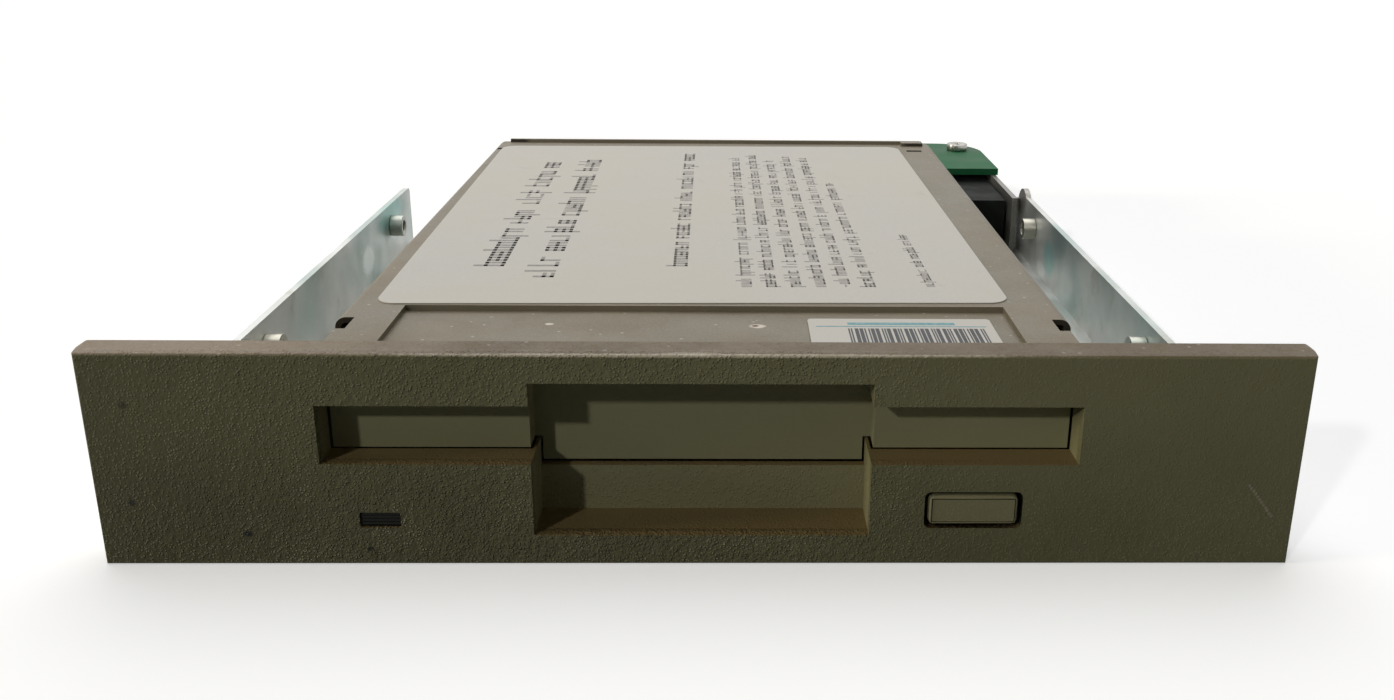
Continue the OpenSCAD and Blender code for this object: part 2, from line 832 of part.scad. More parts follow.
module right_slide_spring() color([0.72, 0.72, 0.70]) {
    slide_spring();
}

module latch_lever() color([0.80, 0.78, 0.70]) {
    length = norm(latch_tip);
    z = [latch_z, latch_z + latch_t];
    translate([latch_at[0], latch_at[1], 0])
        rotate(atan2(latch_tip[1], latch_tip[0]))
            difference() {
                union() {
                    bar_z(latch_hub_r, 0, 0, z);
                    block([0, length], about(0, latch_half), z);
                    bar_z(latch_half, length, 0, [latch_z, media_z + 1.4]);
                }
                bar_z(pivot_r + run, 0, 0, [latch_z - over, latch_z + latch_t + over]);
            }
}

module latch_pivot() color([0.68, 0.68, 0.66]) {
    coil_z = latch_z + latch_t + latch_coil_l;
    bar_z(pivot_seat_r, latch_at[0], latch_at[1], [deck_top, latch_z - gap]);
    bar_z(pivot_r, latch_at[0], latch_at[1], [deck_top, coil_z + pivot_head]);
    bar_z(pivot_seat_r, latch_at[0], latch_at[1], [coil_z, coil_z + pivot_head]);
}

module latch_spring() color([0.75, 0.75, 0.72]) {
    coil_z = latch_z + latch_t + latch_coil_l;
    difference() {
        bar_z(pivot_seat_r - 0.4, latch_at[0], latch_at[1], [latch_z + latch_t + gap, coil_z - seat]);
        bar_z(pivot_r + 0.1, latch_at[0], latch_at[1], [latch_z, coil_z + over]);
    }
}

module motor_board() color([0.25, 0.42, 0.30]) {
    difference() {
        block([-motor_board_x, motor_board_x],
            [spindle_y - motor_board_y, spindle_y + motor_board_y - 2], [board_z, board_top]);
        bar_z(shaft_r + 0.4, 0, spindle_y, [board_z - over, board_top + over]);
        both() bar_z(board_screw_r + run, boss_xs[0], boss_ys[0], [board_z - over, board_top + over]);
        both() bar_z(board_screw_r + run, boss_xs[0], 2 * spindle_y - boss_ys[0],
            [board_z - over, board_top + over]);
    }
}

module motor_coils() color([0.72, 0.45, 0.25]) {
    ring_r = (rotor_r - 1.4 + bearing_r) / 2 + 1.5;
    winding_r = min(2.6, ring_r * sin(180 / coil_count) - 0.2);
    translate([0, spindle_y, 0])
        for (i = [0 : coil_count - 1])
            rotate(i * 360 / coil_count)
                bar_z(winding_r, ring_r, 0, [board_top, rotor_top - rotor_t - 0.6]);
}

module spindle_bearing() color([0.70, 0.62, 0.42]) {
    difference() {
        bar_z(bearing_r, 0, spindle_y, [board_top, rotor_top - rotor_t - gap]);
        bar_z(shaft_r + run, 0, spindle_y, [board_z, rotor_top]);
    }
}

module rotor() color([0.45, 0.45, 0.46]) {
    difference() {
        bar_z(rotor_r, 0, spindle_y, [rotor_low, rotor_top]);
        bar_z(rotor_r - 1.4, 0, spindle_y, [rotor_low - over, rotor_top - rotor_t]);
        bar_z(shaft_r + seat, 0, spindle_y, [rotor_low, rotor_top + over]);
    }
}

module spindle_hub() color([0.72, 0.72, 0.70]) {
    difference() {
        union() {
            bar_z(hub_r, 0, spindle_y, [rotor_top, hub_top]);
            bar_z(shaft_r, 0, spindle_y, [board_z + 0.4, hub_top + 1.8]);
        }
        bar_z(drive_pin_r + seat, drive_pin_x, spindle_y, [rotor_top - over, hub_top + over]);
    }
}

module drive_pin() color([0.62, 0.62, 0.62]) {
    bar_z(drive_pin_r, drive_pin_x, spindle_y, [rotor_top, hub_top + 1.2]);
}

module head_carriage() color([0.24, 0.24, 0.26]) {
    difference() {
        union() {
            both() block([rod_x - block_w / 2, rod_x + block_w / 2], [block_y0, block_y1],
                [block_low, block_top]);
            block([-rod_x, rod_x], [block_y0, block_y1], [tongue_low, block_top]);
            block([-tongue_x, tongue_x], [head_y - tongue_nose, block_y1], [tongue_low, block_top]);
            // Fork for the arm's hinge pin
            both() block([arm_x + gap, tongue_x], [block_y1 - fork_l, block_y1],
                [tongue_low, arm_pivot_z + knuckle_r]);
            // Post for the follower pin
            block([post_x, -rod_x], [block_y1 - post_d, block_y1],
                [tongue_low, screw_z + 3 * follower_r]);
            // Flag for the track sensor
            block([rod_x, rod_x + flag_l], about(sensor_y, flag_d / 2), about(rod_z + 1, flag_t / 2));
        }
        both() bar_y(rod_r + run, rod_x, [block_y0 - over, block_y1 + over], rod_z);
        bar_x(arm_pin_r + seat, [-tongue_x - over, tongue_x + over], arm_pivot_y, arm_pivot_z);
        bar_x(follower_r + seat, [post_x - over, post_x + pin_end], follower_y, screw_z);
    }
}

module lower_head() color([0.35, 0.35, 0.38]) {
    block(about(0, head_w / 2), about(head_y, head_w / 2), [block_top, media_z - 0.2]);
}

module follower_pin() color([0.75, 0.75, 0.72]) {
    bar_x(follower_r, [screw_x + screw_r - 0.4, post_x + pin_end - seat], follower_y, screw_z);
}

module arm_hinge_pin() color([0.75, 0.75, 0.72]) {
    bar_x(arm_pin_r, [-tongue_x - pin_end, tongue_x + 0.4], arm_pivot_y, arm_pivot_z);
}

module arm_spring() color([0.75, 0.75, 0.72]) {
    difference() {
        bar_x(arm_pin_r + 1, [-tongue_x - pin_end + 0.1, -tongue_x - seat], arm_pivot_y, arm_pivot_z);
        bar_x(arm_pin_r + seat, [-tongue_x - pin_end - over, -tongue_x + over], arm_pivot_y, arm_pivot_z);
    }
}

// The arm and its head are drawn level, then raised about the hinge pin
module raised() {
    translate([0, arm_pivot_y, arm_pivot_z])
        rotate([-arm_lift, 0, 0])
            translate([0, -arm_pivot_y, -arm_pivot_z])
                children();
}

module head_arm() color([0.24, 0.24, 0.26]) {
    raised() difference() {
        union() {
            bar_x(knuckle_r, [-arm_x, arm_x], arm_pivot_y, arm_pivot_z);
            block([-arm_x, arm_x], [head_y - arm_nose, arm_pivot_y],
                [arm_pivot_z - arm_low, arm_pivot_z + arm_high]);
        }
        bar_x(arm_pin_r + run, [-arm_x - over, arm_x + over], arm_pivot_y, arm_pivot_z);
    }
}

module upper_head() color([0.35, 0.35, 0.38]) {
    raised() block(about(0, head_w / 2), about(head_y, head_w / 2),
        [media_z + 0.2, arm_pivot_z - arm_low]);
}

module guide_rods() color([0.78, 0.78, 0.77]) {
    both() bar_y(rod_r, rod_x, [rod_y0, rod_y1], rod_z);
}

module rod_clamps() color([0.60, 0.60, 0.58]) {
    both() for (y = [rod_y0, clamp_y1])
        difference() {
            block([rod_x - block_w / 2, rod_x + block_w / 2], [y, y + clamp_l], [deck_top, block_top]);
            bar_y(rod_r + seat, rod_x, [y - over, y + clamp_l + over], rod_z);
        }
}

module stepper_motor() color([0.66, 0.66, 0.64]) {
    difference() {
        union() {
            bar_y(stepper_r, screw_x, [stepper_y0, stepper_y1], screw_z);
            block(about(screw_x, flange_half), [stepper_y0 - flange_d, stepper_y0 + seat],
                [deck_top, screw_z + stepper_r]);
        }
        bar_y(journal_r + run, screw_x,
            [stepper_y0 - flange_d - over, stepper_y0 + stepper_l / 2 + 0.5], screw_z);
    }
}

// The screw's section: a core with one raised land
module screw_section() {
    core_r = screw_r - 0.7;
    land = [for (a = [-60 : 30 : 60]) screw_r * [cos(a), sin(a)]];
    core = [for (a = [90 : 30 : 270]) core_r * [cos(a), sin(a)]];
    polygon(concat(land, core));
}

module lead_screw() color([0.72, 0.70, 0.62]) {
    screw_l = screw_y1 - gap - screw_y0;
    turns = screw_l / screw_lead;
    start = 180 - 360 * (follower_y - screw_y0) / screw_lead;
    translate([screw_x, screw_y0, screw_z])
        rotate([-90, 0, 0])
            linear_extrude(screw_l, twist = -360 * turns, slices = ceil(9 * turns), segments = 1)
                rotate(start)
                    screw_section();
    bar_y(journal_r, screw_x, [bearing_y0, screw_y0 - seat], screw_z);
    bar_y(journal_r, screw_x, [screw_y0 + screw_l + seat, stepper_y0 + stepper_l / 2], screw_z);
}

module screw_bearing() color([0.30, 0.30, 0.32]) {
    difference() {
        block([screw_x - bearing_half, post_x - 4 * gap], [bearing_y0, bearing_y0 + bearing_d],
            [deck_top, screw_z + bearing_half]);
        bar_y(journal_r + run, screw_x, [bearing_y0 - over, screw_y0], screw_z);
    }
}

module logic_board() color([0.22, 0.42, 0.28]) {
    difference() {
        block([-logic_x, logic_x], [logic_y0, cover_y - 1], [board_z, board_top]);
        both() bar_z(board_screw_r + run, boss_xs[1], boss_ys[1], [board_z - over, board_top + over]);
    }
}

module logic_chips() color([0.12, 0.12, 0.13]) {
    for (c = chips)
        block(about(c[0], c[2] / 2), about(logic_y0 + 8 + c[1], c[3] / 2), [board_top, board_top + c[4]]);
}

module board_screws() color([0.7, 0.7, 0.68]) {
    both() for (i = [0, 1])
        translate([boss_xs[i], boss_ys[i], board_z])
            rotate([180, 0, 0])
                pan_screw(board_screw_r, board_screw_l, board_head_r, board_head_l);
    both() translate([boss_xs[0], 2 * spindle_y - boss_ys[0], board_z])
        rotate([180, 0, 0])
            pan_screw(board_screw_r, board_screw_l, board_head_r, board_head_l);
}

// A shroud open to the rear, with two rows of pins
module pin_header(x, y, z, count, rows) {
    wall = 1;
    mid_x = (x[0] + x[1]) / 2;
    mid_z = (z[0] + z[1]) / 2;
    difference() {
        block(x, y, z);
        block([x[0] + wall, x[1] - wall], [y[0] + 1.5, y[1] + over], [z[0] + wall, z[1] - wall]);
    }
    for (i = [0 : count - 1], row = [0 : rows - 1]) {
        px = mid_x + (i - (count - 1) / 2) * pin_pitch;
        pz = mid_z + (row - (rows - 1) / 2) * pin_pitch;
        block(about(px, pin_side / 2), [y[0] + 1, y[1] - 1], about(pz, pin_side / 2));
    }
}

module data_connector() color([0.12, 0.12, 0.12]) {
    pin_header([header_x0, header_x1], [cover_y - header_l, cover_y], [board_top, header_top], 17, 2);
}

module power_connector() color([0.85, 0.84, 0.78]) {
    pin_header([plug_x0, plug_x1], [cover_y - 11, cover_y], [board_top, plug_top], 4, 1);
}

module switch_block() color([0.14, 0.14, 0.15]) {
    difference() {
        block([switch_x0, switch_x0 + switch_w], [switch_y0, switch_y0 + 3 * switch_pitch],
            [deck_top, switch_top]);
        for (i = [0 : 2])
            bar_z(plunger_r + run, plunger_x, switch_y0 + (i + 0.5) * switch_pitch,
                [bore_low, switch_top + over]);
    }
}

module plunger(i) {
    bar_z(plunger_r, plunger_x, switch_y0 + (i + 0.5) * switch_pitch,
        [plunger_top - plunger_l, plunger_top]);
}

module protect_plunger() color([0.85, 0.84, 0.80]) plunger(0);

module density_plunger() color([0.85, 0.84, 0.80]) plunger(1);

module presence_plunger() color([0.85, 0.84, 0.80]) plunger(2);

module track_sensor() color([0.13, 0.13, 0.14]) {
    difference() {
        block([sensor_x, sensor_x + sensor_w], about(sensor_y, sensor_w / 2), [deck_top, rod_z + 4]);
        block([sensor_x - over, sensor_x + sensor_w - 2], about(sensor_y, sensor_w), [rod_z, rod_z + 2]);
    }
}

module index_sensor() color([0.13, 0.13, 0.14]) {
    block([rotor_r + 1, rotor_r + 5], [spindle_y - 2, spindle_y + 2], [board_top, board_top + 1.6]);
}

// Flat cable from the carriage's rear, down through the deck to the logic board
module head_flex_cable() color([0.70, 0.45, 0.20]) {
    flat_t = 0.25;
    x = [2, 10];
    drop_y = rod_y1 + 0.6;
    block(x, [block_y1 + gap, drop_y + flat_t], [rod_z, rod_z + flat_t]);
    block(x, [drop_y, drop_y + flat_t], [board_top, rod_z + flat_t]);
}

module adapter_board() color([0.25, 0.48, 0.36]) {
    z = [adapter_z, adapter_z + adapter_t];
    difference() {
        union() {
            block([adapter_x0, adapter_step_x], [adapter_y0, adapter_y], z);
            block([adapter_step_x - over, adapter_x1 - board_r], [adapter_front, adapter_y], z);
            block([adapter_step_x - over, adapter_x1], [adapter_front, adapter_y - board_r], z);
            bar_z(board_r, adapter_x1 - board_r, adapter_y - board_r, z);
        }
        bar_z(tap_r + 0.2, adapter_screw_at[0], adapter_screw_at[1], [z[0] - over, z[1] + over]);
    }
}

module adapter_socket() color([0.10, 0.10, 0.10]) {
    block([header_x0, header_x1], [cover_y + seat, cover_y + socket_l],
        [board_top + 0.4, adapter_z - seat]);
}

module adapter_header() color([0.12, 0.12, 0.12]) {
    top = adapter_z - seat;
    pin_header([header_x0, header_x1], [adapter_y - header_l, adapter_y], [top - header_h, top], 17, 2);
}

module adapter_power_inlet() color([0.13, 0.13, 0.13]) {
    x = [cover_out + 2 * inlet_gap, arm_wall_x - inlet_gap];
    step_y = adapter_front + 2;
    // Body under the board, and a lower mouth that reaches forward beside the cover
    block(x, [step_y, tab_y[0] - inlet_gap], [inlet_low, adapter_z - seat]);
    block(x, [bracket_y - inlet_gap, step_y + over], [inlet_low, adapter_z - adapter_t]);
}

module adapter_screws() color([0.72, 0.72, 0.70]) {
    translate([adapter_screw_at[0], adapter_screw_at[1], adapter_z + adapter_t])
        pan_screw(screw_shank_r, adapter_t + bracket_t + 1, screw_head_r, screw_head_l);
}

// The origin stands under the middle of the object
module place() {
    translate([0, -depth / 2, 0])
        children();
}

place() bezel();
place() slot_flap();
place() flap_spring();
place() eject_button();
place() led_lens();
place() activity_led();
place() top_cover();
place() cover_label();
place() barcode_label();
place() cover_screws();
place() chassis();
place() left_bracket();
place() right_bracket();
place() left_press_nuts();
place() right_press_nuts();
place() bracket_screws();
place() disk_holder();
place() slide_plate();
place() left_slide_spring();
place() right_slide_spring();
place() latch_lever();
place() latch_pivot();
place() latch_spring();
place() motor_board();
place() motor_coils();
place() spindle_bearing();
place() rotor();
place() spindle_hub();
place() drive_pin();
place() head_carriage();
place() lower_head();
place() follower_pin();
place() arm_hinge_pin();
place() arm_spring();
place() head_arm();
place() upper_head();
place() guide_rods();
place() rod_clamps();
place() stepper_motor();
place() lead_screw();
place() screw_bearing();
place() logic_board();
place() logic_chips();
place() board_screws();
place() data_connector();
place() power_connector();
place() switch_block();
place() protect_plunger();
place() density_plunger();
place() presence_plunger();
place() track_sensor();
place() index_sensor();
place() head_flex_cable();
place() adapter_board();
place() adapter_socket();
place() adapter_header();
place() adapter_power_inlet();
place() adapter_screws();
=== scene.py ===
"""Looks of the floppy disk drive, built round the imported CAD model.

Places are written in design millimetres, as in the part's source: x from the centre line,
y from the bezel's front face to the rear, z from the bottom. place() turns them into metres.
"""

import math

import bpy
import numpy as np
from mathutils import Matrix


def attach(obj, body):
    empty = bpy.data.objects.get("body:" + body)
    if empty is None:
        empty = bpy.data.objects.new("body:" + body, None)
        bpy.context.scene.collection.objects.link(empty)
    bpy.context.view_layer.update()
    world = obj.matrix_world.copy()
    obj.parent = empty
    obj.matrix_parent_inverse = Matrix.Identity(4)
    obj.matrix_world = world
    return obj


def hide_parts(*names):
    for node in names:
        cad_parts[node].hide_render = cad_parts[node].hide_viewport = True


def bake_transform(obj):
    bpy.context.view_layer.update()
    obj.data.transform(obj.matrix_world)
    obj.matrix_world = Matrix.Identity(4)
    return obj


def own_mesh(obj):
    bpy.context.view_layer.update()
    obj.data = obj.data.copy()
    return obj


MM = 0.001
DEPTH = 203.2
PHOTO_W, PHOTO_H = 1394, 700

# Heights and places that several pieces share
COVER_Z = 25.1
PANEL_Z = 24.45
BOARD_LOW = 2.2
ADAPTER_TOP = 15.7
BEHIND_BEZEL = 4.83
LABEL_T = 0.15
LABEL_X, LABEL_Y, LABEL_W, LABEL_L, LABEL_TURN = -2.4, 88.3, 90.8, 117.6, 0.8
SPINDLE_Y = 64
HINGE_Y, HINGE_Z = 8.6, 21.6
LATCH_X, LATCH_Y = -43, 116
STEPPER_X, STEPPER_REAR, STEPPER_Z = -24, 151, 14.9
ARM_PIN_Y, ARM_PIN_Z = 127.5, 16.45
SLIDE_SPRING_X, SLIDE_SPRING_Z = 39.7, 8.32

# How far small pieces reach into what they stand on, and how thick print is
SUNK = 0.02
INK = 0.015


def srgb(red, green, blue):
    """A colour written as 0 to 255 in a picture editor, as linear RGBA: ((c + 0.055) / 1.055) ** 2.4."""
    c = np.array([red, green, blue]) / 255
    linear = np.where(c <= 0.04045, c / 12.92, ((c + 0.055) / 1.055) ** 2.4)
    return (*linear.tolist(), 1.0)


def place(points):
    """Design millimetres to metres in the shared frame, whose origin is under the object's middle."""
    return (np.asarray(points, float) - (0, DEPTH / 2, 0)) * MM


def stand(name, data, right, up, back, at=(0, DEPTH / 2, 0)):
    """A new camera or lamp with its three axes, at a design place or at the frame's origin."""
    axes = np.eye(4)
    axes[:3] = np.stack([right, up, back, place(at)], -1)
    thing = bpy.data.objects.new(name, data)
    thing.matrix_world = Matrix(axes.tolist())
    bpy.context.scene.collection.objects.link(thing)
    return thing


# Camera

def make_camera():
    """A camera at the photograph's viewing place: yaw to the right, pitch down, then roll to one side."""
    focal_px, centre_x, centre_y = 1253.9, 755.5, 312.5
    pitch, yaw, roll = np.radians([18.383, 1.256, -0.604])
    forward = np.array([math.sin(yaw) * math.cos(pitch), math.cos(yaw) * math.cos(pitch), -math.sin(pitch)])
    right = np.array([math.cos(yaw), -math.sin(yaw), 0])
    down = np.cross(forward, right)
    turned_right = math.cos(roll) * right + math.sin(roll) * down
    turned_down = math.cos(roll) * down - math.sin(roll) * right
    data = bpy.data.cameras.new("camera")
    data.sensor_width = 36
    data.lens = focal_px / PHOTO_W * data.sensor_width
    data.shift_x = (PHOTO_W / 2 - centre_x) / PHOTO_W
    data.shift_y = (centre_y - PHOTO_H / 2) / PHOTO_W
    data.clip_start, data.clip_end = 0.01, 50
    camera = stand("camera", data, turned_right, -turned_down, -forward, (3.35, -140.8, 80.43))
    bpy.context.scene.camera = camera


# Nodes

SOCKET_OF_SIZE = {1: "NodeSocketFloat", 3: "NodeSocketVector", 4: "NodeSocketColor"}


class Nodes:
    """A node tree under construction, and the object coordinates that its patterns read."""

    def __init__(self, tree, vector=None):
        self.tree, self.vector = tree, vector

    def add(self, kind, settings=None, **inputs):
        """A node of a kind, with its settings and the values of its inputs."""
        node = self.tree.nodes.new(kind)
        for key, value in (settings or {}).items():
            setattr(node, key, value)
        for key, value in inputs.items():
            self.feed(node, key, value)
        return node

    def feed(self, node, key, value):
        """Sets one input, or links it where the value is a socket. The key is the input's label with
        underscores for spaces, or i and its number."""
        number = key[1:] if key[0] == "i" and key[1:].isdigit() else None
        socket = node.inputs[int(number)] if number else node.inputs[key.replace("_", " ")]
        if isinstance(value, bpy.types.NodeSocket):
            self.tree.links.new(value, socket)
        else:
            socket.default_value = value

    def number(self, operation, a, b=0.0, clamp=False):
        """One sum on numbers."""
        settings = {"operation": operation, "use_clamp": clamp}
        return self.add("ShaderNodeMath", settings, i0=a, i1=b).outputs[0]

    def times(self, a, b):
        return self.number("MULTIPLY", a, b)

    def plus(self, a, b, clamp=False):
        return self.number("ADD", a, b, clamp)

    def vectors(self, operation, a, b=(0, 0, 0)):
        """One sum on vectors."""
        return self.add("ShaderNodeVectorMath", {"operation": operation}, i0=a, i1=b).outputs[0]

    def length(self, vector):
        return self.add("ShaderNodeVectorMath", {"operation": "LENGTH"}, i0=vector).outputs["Value"]

    def ramp(self, value, low, high, to_low=0.0, to_high=1.0):
        """A smooth step from to_low to to_high as value goes from low to high."""
        node = self.add("ShaderNodeMapRange", {"interpolation_type": "SMOOTHSTEP"}, Value=value, From_Min=low,
                        From_Max=high, To_Min=to_low, To_Max=to_high)
        return node.outputs["Result"]

    def mix(self, factor, a, b):
        """Colour a turned towards colour b by a factor. A colour is a socket or three numbers in 0 to 255."""
        a, b = (srgb(*colour) if isinstance(colour, tuple) else colour for colour in (a, b))
        return self.add("ShaderNodeMix", {"data_type": "RGBA"}, i0=factor, i6=a, i7=b).outputs[2]

    def noise(self, scale, detail, roughness, vector=None):
        """Noise in 0 to 1 on object coordinates or a given vector, with its scale in turns per metre."""
        vector = self.vector if vector is None else vector
        inputs = {"Vector": vector, "Scale": scale, "Detail": detail, "Roughness": roughness}
        return self.add("ShaderNodeTexNoise", **inputs).outputs[0]

    def along(self, axis):
        """The object coordinate along an axis."""
        return self.add("ShaderNodeSeparateXYZ", Vector=self.vector).outputs[axis]

    def facing(self, axis):
        """How far a face looks along an axis, from -1 to 1."""
        normal = self.add("ShaderNodeNewGeometry").outputs["Normal"]
        return self.add("ShaderNodeSeparateXYZ", Vector=normal).outputs[axis]


class Effect(Nodes):
    """A shared effect: a group that reads object coordinates and inputs, and gives colours or values."""

    def __init__(self, name, **inputs):
        tree = bpy.data.node_groups.new(name, "ShaderNodeTree")
        for label, value in {"Vector": (0, 0, 0), **inputs}.items():
            kind = SOCKET_OF_SIZE[np.size(value)]
            tree.interface.new_socket(label, in_out="INPUT", socket_type=kind).default_value = value
        self.inputs = tree.nodes.new("NodeGroupInput").outputs
        super().__init__(tree, self.inputs["Vector"])

    def give(self, **outputs):
        """Ends the group with its named outputs."""
        for label, value in outputs.items():
            kind = SOCKET_OF_SIZE[4 if value.type == "RGBA" else 1]
            self.tree.interface.new_socket(label, in_out="OUTPUT", socket_type=kind)
        self.add("NodeGroupOutput", **outputs)
        return self.tree


# Shared effects

def grain_effect():
    """Spark-eroded grain of a mould: noise on two scales with round dots in half of its cells, a mask of
    the dots, which lie in clusters, and a slow cloud."""
    grain = Effect("moulded_grain", Scale=2500.0)
    scale = grain.inputs["Scale"]
    cells = grain.add("ShaderNodeTexVoronoi", Vector=grain.vector, Scale=scale).outputs
    chosen = grain.ramp(cells["Color"], 0.5, 0.58)
    dots = grain.times(grain.ramp(cells["Distance"], 0.16, 0.5, 1.0, 0.0), chosen)
    fine = grain.noise(grain.times(scale, 0.8), 2.0, 0.6)
    coarse = grain.noise(grain.times(scale, 0.28), 2.0, 0.5)
    waves = grain.times(grain.plus(fine, coarse), 0.5)
    clusters = grain.ramp(grain.noise(150.0, 4.0, 0.65), 0.36, 0.7, 0.15, 1.0)
    return grain.give(Height=grain.plus(waves, grain.times(dots, 0.4)), Speck=grain.times(dots, clusters),
                      Cloud=grain.noise(38.0, 4.0, 0.6))


def dust_effect():
    """Dust that lies on faces that look up, thicker in patches, with a few single grains."""
    dust = Effect("dust", Amount=0.4)
    patches = dust.ramp(dust.noise(60.0, 6.0, 0.65), 0.38, 0.72)
    cells = dust.add("ShaderNodeTexVoronoi", Vector=dust.vector, Scale=420.0).outputs
    spots = dust.ramp(cells["Distance"], 0.07, 0.13, 1.0, 0.0)
    amount = dust.times(dust.ramp(dust.facing("Z"), 0.2, 0.95), dust.inputs["Amount"])
    return dust.give(Mask=dust.times(patches, amount), Grains=dust.times(spots, amount))


def sheet_effect():
    """Rolling marks of sheet metal: noise drawn out along Y, over a cloudy tone, with small spots."""
    sheet = Effect("rolled_sheet", Across=1800.0, Along=40.0)
    across, along = sheet.inputs["Across"], sheet.inputs["Along"]
    stretch = sheet.add("ShaderNodeCombineXYZ", X=across, Y=along, Z=across).outputs[0]
    lines = sheet.noise(1.0, 3.0, 0.6, sheet.vectors("MULTIPLY", sheet.vector, stretch))
    spots = sheet.ramp(sheet.noise(900.0, 2.0, 0.5), 0.66, 0.74)
    return sheet.give(Height=lines, Tone=sheet.noise(55.0, 5.0, 0.6), Spot=spots)


def passivation_effect():
    """Colours of passivated zinc: slow bands of teal and straw over grey, from two noises."""
    zinc = Effect("passivation", Base=srgb(150, 150, 146), Amount=0.7)
    amount = zinc.inputs["Amount"]
    fast = zinc.noise(95.0, 5.0, 0.62)
    teal = zinc.times(zinc.ramp(zinc.noise(26.0, 3.0, 0.5), 0.5, 0.66), amount)
    straw = zinc.times(zinc.ramp(fast, 0.55, 0.75), amount)
    tinted = zinc.mix(teal, zinc.inputs["Base"], (132, 170, 166))
    return zinc.give(Colour=zinc.mix(straw, tinted, (160, 152, 134)), Tone=fast)


def mark_effect():
    """A soft round or stretched mark with a ragged edge: one minus the smooth step of the distance from its
    centre, in mark sizes."""
    mark = Effect("mark", Centre=(0, 0, 0), Size=(1, 1, 1))
    offset = mark.vectors("SUBTRACT", mark.vector, mark.inputs["Centre"])
    distance = mark.length(mark.vectors("DIVIDE", offset, mark.inputs["Size"]))
    edge = mark.plus(distance, mark.times(mark.noise(2400.0, 2.0, 0.5), 0.5))
    return mark.give(Mask=mark.ramp(edge, 0.75, 1.2, 1.0, 0.0))


def tracks_effect():
    """Copper tracks under a solder mask: mortar lines of two brick patterns, one of them turned by a
    quarter, and round pads at a regular pitch."""
    tracks = Effect("tracks", Pitch=390.0)
    pitch = tracks.inputs["Pitch"]
    crossing = tracks.add("ShaderNodeMapping", Vector=tracks.vector, Rotation=(0, 0, math.pi / 2)).outputs[0]
    patterns = []
    for vector, offset, mortar, width in ((tracks.vector, 0.37, 0.045, 3.1), (crossing, 0.61, 0.05, 4.7)):
        brick = tracks.add("ShaderNodeTexBrick", {"offset": offset}, Vector=vector, Scale=pitch,
                           Mortar_Size=mortar, Mortar_Smooth=0.2, Brick_Width=width, Row_Height=0.5)
        patterns.append(brick.outputs["Fac"])
    choice = tracks.ramp(tracks.noise(75.0, 1.0, 0.5), 0.49, 0.51)
    lines = tracks.add("ShaderNodeMix", i0=choice, i2=patterns[0], i3=patterns[1]).outputs[0]
    scaled = tracks.add("ShaderNodeVectorMath", {"operation": "SCALE"}, i0=tracks.vector, Scale=pitch)
    cell = tracks.vectors("FRACTION", scaled.outputs[0])
    from_middle = tracks.vectors("SUBTRACT", cell, (0.5, 0.5, 0.5))
    radius = tracks.length(tracks.vectors("MULTIPLY", from_middle, (1, 1, 0)))
    rare = tracks.ramp(tracks.noise(120.0, 0.0, 0.5), 0.6, 0.62)
    pads = tracks.times(tracks.ramp(radius, 0.26, 0.3, 1.0, 0.0), rare)
    return tracks.give(Track=lines, Pad=pads, Tone=tracks.noise(45.0, 3.0, 0.5))


# Materials

class Finish(Nodes):
    """One material under construction, with its Principled shader."""

    def __init__(self, name, roughness, metallic=0.0, specular=0.5):
        self.material = bpy.data.materials.new(name)
        self.material.use_nodes = True
        tree = self.material.node_tree
        super().__init__(tree, tree.nodes.new("ShaderNodeTexCoord").outputs["Object"])
        self.shader = tree.nodes["Principled BSDF"]
        levels = {"Roughness": roughness, "Metallic": metallic, "Specular IOR Level": specular}
        for label, level in levels.items():
            self.shader.inputs[label].default_value = level

    def effect(self, name, **inputs):
        """Outputs of a shared effect, placed with its own values."""
        return self.add("ShaderNodeGroup", {"node_tree": EFFECTS[name]}, Vector=self.vector, **inputs).outputs

    def step(self, axis, low, high, to_low=0.0, to_high=1.0):
        """A smooth step between two design places on an axis."""
        low, high = (place([end] * 3)["XYZ".index(axis)] for end in (low, high))
        return self.ramp(self.along(axis), low, high, to_low, to_high)

    def waves(self, axis, pitch):
        """A sine along an axis, with its pitch in millimetres."""
        return self.number("SINE", self.times(self.along(axis), 2 * math.pi / (pitch * MM)))

    def mark(self, centre, size):
        """A mark at a design place, with its half sizes in millimetres."""
        half_sizes = [half * MM for half in size]
        return self.effect("mark", Centre=place(centre).tolist(), Size=half_sizes)["Mask"]

    def marked(self, tone, marks):
        """A colour with listed marks over it, each with its centre, half sizes, colour and share."""
        for centre, size, colour, share in marks:
            tone = self.mix(self.times(self.mark(centre, size), share), tone, colour)
        return tone

    def done(self, colour, roughness, height, depth):
        """Links the colour, the roughness and a bump of a depth in millimetres to the shader."""
        bump = self.add("ShaderNodeBump", Distance=depth * MM, Height=height).outputs[0]
        for label, value in (("Base_Color", colour), ("Roughness", roughness), ("Normal", bump)):
            self.feed(self.shader, label, value)
        return self.material


